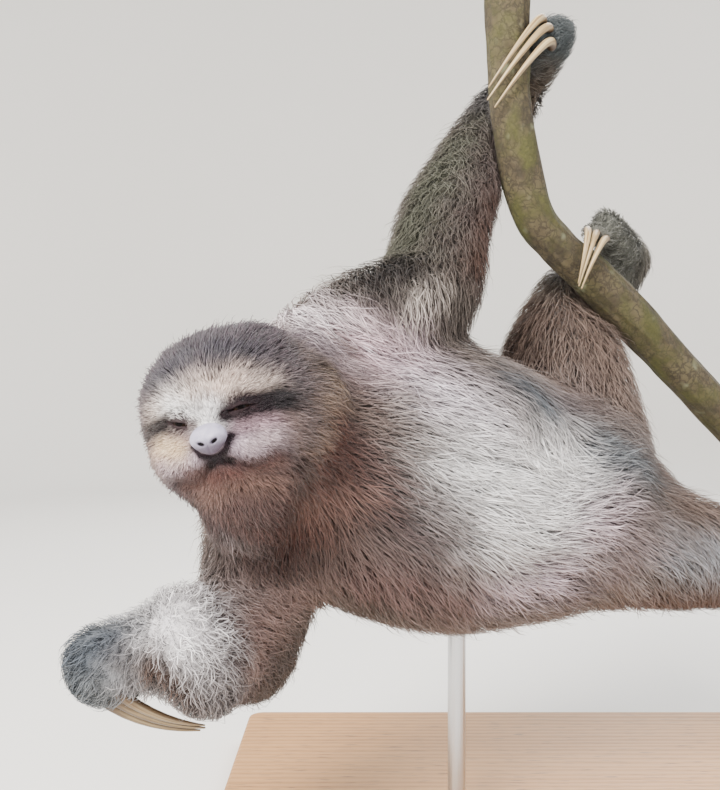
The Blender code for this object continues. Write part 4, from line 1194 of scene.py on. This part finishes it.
def unwrapped(points, bone):
    """Skin places laid flat: how far along the limb's line, and the angle round it. The head, being round,
    is laid out by two angles."""
    start, end, _ = BONES[bone]
    axis = unit(end - start)
    side = unit(np.cross(axis, [0.0, 0.3, 1.0]))
    top = np.cross(side, axis)
    out = points - (start + end) / 2
    along = np.arctan2(out @ axis, np.hypot(out @ side, out @ top)) if bone == "head" else out @ axis
    flat = np.stack([along, np.arctan2(out @ side, out @ top)], axis=1)
    low, high = flat.min(axis=0), flat.max(axis=0)
    return 0.004 + 0.990 * (flat - low) / (high - low)


# Coarse hair: dull and slightly frayed, so it scatters light softly and shows only a faint streak of gloss.
hair = finish_of("coarse_hair")
hair_colour = add(hair, "Attribute", attribute_name="coat_colour").outputs["Color"]
hair_shader = add(hair, "BsdfPrincipled", {
    "Base Color": hair_colour, "Roughness": 0.6, "Specular IOR Level": 0.15, "Sheen Weight": 0.08,
    "Sheen Roughness": 0.45,
})
add(hair, "OutputMaterial", {"Surface": hair_shader})

# The slit of the lids and the nose pad, an ellipsoid of this middle and these half widths, stay bare.
BARE_NOSE_UP, BARE_NOSE_HALF, BARE_LID = -0.0022, (0.0080, 0.0080, 0.0056), 0.0025
# Each lock's patch in the UV map is this wide and high, and no piece has more triangles than this.
PATCH, MOST_TRIANGLES = 0.003, 190000
for number, (layer_name, layer) in enumerate(LAYERS.items()):
    roots = scattered(number)
    slit_at = np.max([slit(roots, side_name)[0] for side_name in EYES], axis=0)
    from_pad = (in_head(roots - NOSE + BETWEEN_EYES) - (0, 0, BARE_NOSE_UP)) / BARE_NOSE_HALF
    on_pad = apart(from_pad, 0) < 1
    bare = ((from_eyes(roots) < EYE_RADIUS + BARE_LID) & (slit_at > 0.001)) | on_pad
    roots = roots[~bare]
    spikes, colours = grown(roots, layer)
    quads, ends, quad_uv, end_uv = spike_faces(layer[0])
    to_a_lock = spikes.shape[1]
    most = MOST_TRIANGLES // (2 * len(quads) + len(ends))
    owner = shares(roots).argmax(axis=1)
    for index, bone in enumerate(BONES):
        mine = np.flatnonzero(owner == index)
        if not len(mine):
            continue
        start, end, _ = BONES[bone]
        mine = mine[np.argsort((roots[mine] - start) @ (end - start))]
        place = unwrapped(roots[mine], bone)[:, None]
        parts = np.array_split(np.arange(len(mine)), math.ceil(len(mine) / most))
        for part_number, part in enumerate(parts, 1):
            base = np.arange(len(part))[:, None, None] * to_a_lock
            coat = piece(
                f"{layer_name}_{bone}_{part_number}", spikes[mine[part]].reshape(-1, 3),
                [(quads[None] + base).reshape(-1, 4), (ends[None] + base).reshape(-1, 3)], hair,
            )
            keep(coat, "coat_colour", colours[mine[part]].reshape(-1, 3), "FLOAT_COLOR")
            uv = [(place[part] + corner * PATCH).reshape(-1, 2) for corner in (quad_uv, end_uv)]
            uv = np.concatenate(uv).astype(np.float32)
            coat.data.uv_layers.new(name="OFBake").data.foreach_set("uv", uv.ravel())
            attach(coat, "root")

# ---------------------------------------------------------------------------------------------
# Eyes: glass eyes such as a taxidermist sets, domed and very dark brown, with a round pupil. They sit in
# the hollow of the lids and only a sliver shows. Each is a sphere turned about its line of sight.


def globe(centre, ahead, radii, rows, columns):
    """A sphere in rings from front to back: centre + radii * ((side, top) * sin(a) + ahead * cos(a))."""
    side = unit(np.cross(ahead, HEAD_UP))
    top = np.cross(side, ahead)
    from_front = np.linspace(0, math.pi, rows + 2)[1:-1]
    turn = np.linspace(0, 2 * math.pi, columns, endpoint=False)
    around = np.cos(turn)[:, None] * side * radii[0] + np.sin(turn)[:, None] * top * radii[2]
    down = from_front[:, None, None]
    ring = np.sin(down) * around[None] + np.cos(down) * ahead * radii[1]
    ends = np.stack([ahead, -ahead]) * radii[1]
    return centre + np.vstack([ring.reshape(-1, 3), ends]), rings(rows, columns, poles=True), from_front


# Painted glass: almost black brown, a black pupil 4 mm wide, and a clear coat that gives one sharp glint.
eye_glass = finish_of("painted_glass")
off_sight = add(eye_glass, "Attribute", attribute_name="off_sight").outputs["Fac"]
where = add(eye_glass, "TexCoord").outputs["Object"]
fleck = add(eye_glass, "TexNoise", {"Vector": where, "Scale": 1400.0, "Detail": 2.0})
iris_tone = add(eye_glass, "Mix", {"Factor": fleck, "A": "#0c0705", "B": "#20130c"}, data_type="RGBA")
past_pupil = add(eye_glass, "MapRange", {"Value": off_sight, "From Min": 0.36, "From Max": 0.46})
iris = add(eye_glass, "Mix", {"Factor": past_pupil, "A": "#050303", "B": iris_tone}, data_type="RGBA")
past_iris = add(eye_glass, "MapRange", {"Value": off_sight, "From Min": 0.95, "From Max": 1.15})
eye_colour = add(eye_glass, "Mix", {"Factor": past_iris, "A": iris, "B": "#0f0a0a"}, data_type="RGBA")
eye_shader = add(eye_glass, "BsdfPrincipled", {
    "Base Color": eye_colour, "Roughness": 0.12, "IOR": 1.38, "Specular IOR Level": 0.05,
    "Coat Weight": 0.03, "Coat Roughness": 0.02,
})
add(eye_glass, "OutputMaterial", {"Surface": eye_shader})

for side_name, centre in EYES.items():
    eye_points, eye_faces, from_front = globe(centre, EYE_AHEAD[side_name], [EYE_RADIUS] * 3, 30, 40)
    eyeball = piece(f"eyeball_{side_name}", eye_points, eye_faces, eye_glass)
    keep(eyeball, "off_sight", np.append(np.repeat(from_front, 40), [0, math.pi]))
    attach(eyeball, "root")
    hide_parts(f"eye_{side_name}")

# ---------------------------------------------------------------------------------------------
# Nose pad: bare leather, pale partly as painted sunlight, broad above and narrowing to a blunt V below, with
# two small nostrils that look forward and down. It is a cushion with its outline and its hollows pressed in
# as soft dents.

NOSE_HALF, NOSE_ROWS, NOSE_COLUMNS = (0.0090, 0.0056, 0.0074), 84, 120
# How much narrower the pad is at its foot and broader at its top; in millimetres, how far back it sits and
# how far its top leans back.
NOSE_NARROW, NOSE_BROAD, NOSE_SUNK, NOSE_LEAN = 0.34, 0.05, 0.8, 1.8
# In millimetres: each nostril's place, reach and depth; the wing over it, out and up from the nostril, its
# reach and height; and the reach and depth of the groove between them.
NOSTRIL_SIDE, NOSTRIL_UP, NOSTRIL_REACH, NOSTRIL_DEPTH = 3.2, -1.8, (1.5, 0.85), 2.6
WING_OUT, WING_UP, WING_REACH, WING_HEIGHT = 0.4, 1.9, (2.2, 1.3), 0.55
GROOVE_REACH, GROOVE_DEPTH = 0.5, 0.5


def nose_surface():
    """The cushion's sphere, drawn in below to a V, with the groove and a wing over each nostril as bumps of
    height * exp(-(distance / reach)^2), and the nostrils as steeper hollows, with (distance / reach)^3.
    After its points and faces: how deep in a nostril, and how far down the pad, each point is; these set the
    painted shade in the nostrils and on the pad's lower part."""
    points, faces, _ = globe(np.zeros(3), HEAD_FORWARD, NOSE_HALF, NOSE_ROWS, NOSE_COLUMNS)
    side, ahead, up = (points @ HEAD_AXES.T * 1000).T
    side = side * (1 - NOSE_NARROW * np.clip(-up / 7.6, 0, 1) ** 1.2 + NOSE_BROAD * np.clip(up / 7.6, 0, 1))
    front = np.clip(ahead / 3.0, 0, 1)
    off = np.abs(side) - NOSTRIL_SIDE
    tilt = up - NOSTRIL_UP - 0.35 * off
    hole = np.exp(-((off / NOSTRIL_REACH[0]) ** 2 + (tilt / NOSTRIL_REACH[1]) ** 2) ** 1.5)
    wing = np.exp(-(((off - WING_OUT) / WING_REACH[0]) ** 2 + ((tilt - WING_UP) / WING_REACH[1]) ** 2))
    groove = bell(side, GROOVE_REACH) * np.clip((-up - 1.0) / 3.0, 0, 1)
    pressed = front * (WING_HEIGHT * wing - NOSTRIL_DEPTH * hole - GROOVE_DEPTH * groove)
    ahead = ahead - NOSE_SUNK - NOSE_LEAN * np.clip(up / 7.4, 0, 1) ** 1.5 + pressed
    out = np.stack([side, ahead, up], axis=1) * 0.001 @ HEAD_AXES + NOSE
    return out, faces, hole * front, np.clip((0.8 - up) / 5.0, 0, 1)


# Nose leather: blue-grey with a violet cast, its paleness partly painted sunlight, pebbled at half a
# millimetre, slightly moist. Its lower part is darkened as painted shade, and the nostrils are painted near
# black as shade.
leather = finish_of("nose_leather")
where = add(leather, "TexCoord").outputs["Object"]
pebble = add(leather, "TexVoronoi", {"Vector": where, "Scale": 1700.0})
stain = add(leather, "TexNoise", {"Vector": where, "Scale": 260.0, "Detail": 4.0})
# The pale tone is partly painted sunlight.
leather_tone = add(leather, "Mix", {"Factor": stain, "A": "#77738a", "B": "#b3afc2"}, data_type="RGBA")
nostril_painted_shade = add(leather, "Attribute", attribute_name="nostril_painted_shade").outputs["Fac"]
pad_foot_painted_shade = add(leather, "Attribute", attribute_name="pad_foot_painted_shade").outputs["Fac"]
# Painted shade: the pad's lower part darker.
leather_shaded = add(leather, "Mix", {
    "Factor": pad_foot_painted_shade, "A": leather_tone, "B": "#4d4454",
}, data_type="RGBA")
# Painted shade: the nostrils near black.
leather_colour = add(leather, "Mix", {
    "Factor": nostril_painted_shade, "A": leather_shaded, "B": "#160e12",
}, data_type="RGBA")
pebbled = add(leather, "Bump", {"Height": pebble, "Strength": 0.5, "Distance": 0.0003})
leather_shader = add(leather, "BsdfPrincipled", {
    "Base Color": leather_colour, "Roughness": 0.5, "Normal": pebbled,
})
add(leather, "OutputMaterial", {"Surface": leather_shader})

nose_points, nose_faces, nostril_shade_mask, nose_foot_painted_shade = nose_surface()
nose_pad = piece("nose_pad", nose_points, nose_faces, leather)
keep(nose_pad, "nostril_painted_shade", np.clip(nostril_shade_mask * 1.6, 0, 1))
keep(nose_pad, "pad_foot_painted_shade", nose_foot_painted_shade)
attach(nose_pad, "root")
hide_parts("nose")

# ---------------------------------------------------------------------------------------------
# Claws: three long hooks of horn on each hand and foot, rooted in the flesh, round on the back and flatter
# beneath. They are cream to tan with brown streaks along the grain, and darker at the root; painted shade
# darkens them beneath and on the flanks that face down.

# For each hand and foot: the claws' roots, their points, how they bow out between, and their root girth.
CLAWS = {
    "hand_left": (
        [(-0.0722, -0.018, 0.5705), (-0.0673, -0.019, 0.5642), (-0.0659, -0.020, 0.5537)],
        [(-0.1129, -0.042, 0.5181), (-0.1138, -0.042, 0.5096), (-0.1088, -0.042, 0.5046)],
        (0.010, -0.014, 0.017), 0.0037,
    ),
    "hand_right": (
        [(-0.326, -0.182, 0.1560), (-0.330, -0.176, 0.1510), (-0.334, -0.170, 0.1460)],
        [(-0.2850, -0.158, 0.1295), (-0.2860, -0.151, 0.1255), (-0.2900, -0.144, 0.1215)],
        (-0.005, -0.003, -0.010), 0.0036,
    ),
    "foot_left": (
        [(-0.0330, 0.012, 0.4310), (-0.0257, 0.013, 0.4292), (-0.0183, 0.014, 0.4251)],
        [(-0.0446, -0.010, 0.3896), (-0.0440, -0.009, 0.3878), (-0.0418, -0.008, 0.3861)],
        (0.000, -0.016, 0.012), 0.0031,
    ),
    "foot_right": (
        [(0.170, 0.083, 0.199), (0.179, 0.087, 0.193), (0.188, 0.091, 0.186)],
        [(0.186, 0.131, 0.227), (0.194, 0.134, 0.219), (0.202, 0.138, 0.211)],
        (0.007, -0.015, 0.024), 0.0031,
    ),
}
# Rings and sides of a claw, radius of its tip, its room from the bark, and its root's length in the flesh.
CLAW_ROWS, CLAW_COLUMNS, CLAW_TIP, CLAW_CLEAR, CLAW_SUNK = 40, 20, 0.0006, 0.0009, 0.0100
# Its girth against the root's, width and thickness beneath against its girth, and how dark the painted shade
# beneath and on the down-facing flanks is.
CLAW_GIRTH, CLAW_WIDE, CLAW_UNDER, CLAW_PAINTED_SHADE = 0.97, 0.92, 0.78, 0.85


def claw_girth(share, root_girth):
    """Full at the root and down to a fine point: root * (1 - 0.85 * share^1.6)."""
    return np.maximum(root_girth * (1 - 0.85 * share**1.6), CLAW_TIP)


def claw_line(root, point, bow, root_girth):
    """Root + chord * share + bow * depth * 4 share (1 - share), at the least depth that clears the stem."""
    share = np.linspace(0, 1, CLAW_ROWS)
    root, point, bow = (np.array(part, float) for part in (root, point, bow))
    for depth in np.arange(0.3, 2.5, 0.05):
        line = root + (point - root) * share[:, None] + bow * depth * (4 * share * (1 - share))[:, None]
        away = np.linalg.norm(near_path(line, stem_line), axis=1)
        if (away - STEM_GIRTH[1] >= claw_girth(share, root_girth) + CLAW_CLEAR).all():
            break
    return line, share


def claw_surface(root, point, bow, root_girth):
    """A tube along the claw's line, with faint growth ridges and its under side pressed flat: line + girth *
    (side * wide * cos(turn) + top * flat * sin(turn)). Its root bends back into the flesh. After its points:
    the share of the way along, the turn, and how far on the under side or a flank facing down each is, which
    sets the painted shade there."""
    line, share = claw_line(root, point, bow, root_girth)
    back = unit(unit(line[0] - line[1]) * 0.5 - outward(outline, line[:1])[0])
    line = np.vstack([line[:1] + back * CLAW_SUNK * k / 3 for k in (3, 2, 1)] + [line])
    share = np.append([0, 0, 0], share)
    turn = np.linspace(0, 2 * math.pi, CLAW_COLUMNS, endpoint=False)
    girth = (claw_girth(share, root_girth) * CLAW_GIRTH)[:, None]
    girth = girth * (1 + 0.018 * np.sin(5 * turn)[None] + 0.012 * np.sin(40 * share)[:, None])
    high = np.where(np.sin(turn) < 0, CLAW_UNDER, 1.0) * np.sin(turn)
    points, ring = tube(line, girth, CLAW_WIDE * np.cos(turn), high, unit(np.array(bow)) + 1e-6)
    points = np.vstack([points.reshape(-1, 3), line[:1], line[-1:] + unit(line[-1] - line[-2]) * CLAW_TIP])
    # The mask of painted shade: the under side and the flanks that face down.
    under_painted_shade = np.clip(np.maximum(0.75 - np.sin(turn)[None], -0.1 - 1.3 * ring[..., 2]), 0, 1)
    return (points, np.append(np.repeat(share, CLAW_COLUMNS), [0, 1]),
            np.append(np.tile(turn, len(share)), [0, 0]), np.append(under_painted_shade, [0, 0]))


# Horn: grown in layers along the claw, so the streaks run its whole length; polished by bark at the tip.
horn = finish_of("claw_horn")
grain_way = add(horn, "Attribute", attribute_name="grain").outputs["Vector"]
streak = add(horn, "TexNoise", {"Vector": grain_way, "Scale": 1.0, "Detail": 4.0})
streaky = add(horn, "MapRange", {"Value": streak, "From Min": 0.35, "From Max": 0.68})
horn_tone = add(horn, "Mix", {"Factor": streaky, "A": "#c0aa7e", "B": "#6f5230"}, data_type="RGBA")
along = add(horn, "Attribute", attribute_name="along").outputs["Fac"]
root_dark = add(horn, "MapRange", {"Value": along, "From Min": 0.28, "From Max": 0.02})
horn_colour = add(horn, "Mix", {"Factor": root_dark, "A": horn_tone, "B": "#5a4330"}, data_type="RGBA")
# Painted shade: darker under the claw and on its flanks that face down.
shaded = add(horn, "Attribute", attribute_name="under_painted_shade").outputs["Fac"]
horn_with_painted_shade = add(horn, "Mix", {"Factor": shaded, "A": horn_colour, "B": "#3a281a"}, data_type="RGBA")
horn_rough = add(horn, "MapRange", {"Value": along, "To Min": 0.55, "To Max": 0.32})
grown_line = add(horn, "Bump", {"Height": streak, "Strength": 0.35, "Distance": 0.0003})
horn_shader = add(horn, "BsdfPrincipled", {
    "Base Color": horn_with_painted_shade, "Roughness": horn_rough, "Normal": grown_line,
})
add(horn, "OutputMaterial", {"Surface": horn_shader})

for owner, (claw_roots, claw_points, bow, root_girth) in CLAWS.items():
    for number, (root, point) in enumerate(zip(claw_roots, claw_points), 1):
        points, share, turn, under_painted_shade = claw_surface(root, point, bow, root_girth)
        hook = piece(f"horn_{owner}_{number}", points, rings(CLAW_ROWS + 3, CLAW_COLUMNS, poles=True), horn)
        keep(hook, "along", share)
        keep(hook, "under_painted_shade", CLAW_PAINTED_SHADE * under_painted_shade)
        round_grain = np.stack([2.2 * np.cos(turn), 2.2 * np.sin(turn), share * 1.5 + number], axis=1)
        keep(hook, "grain", round_grain, "FLOAT_VECTOR")
        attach(hook, "root")
        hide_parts(f"claw_{owner}_{number}")
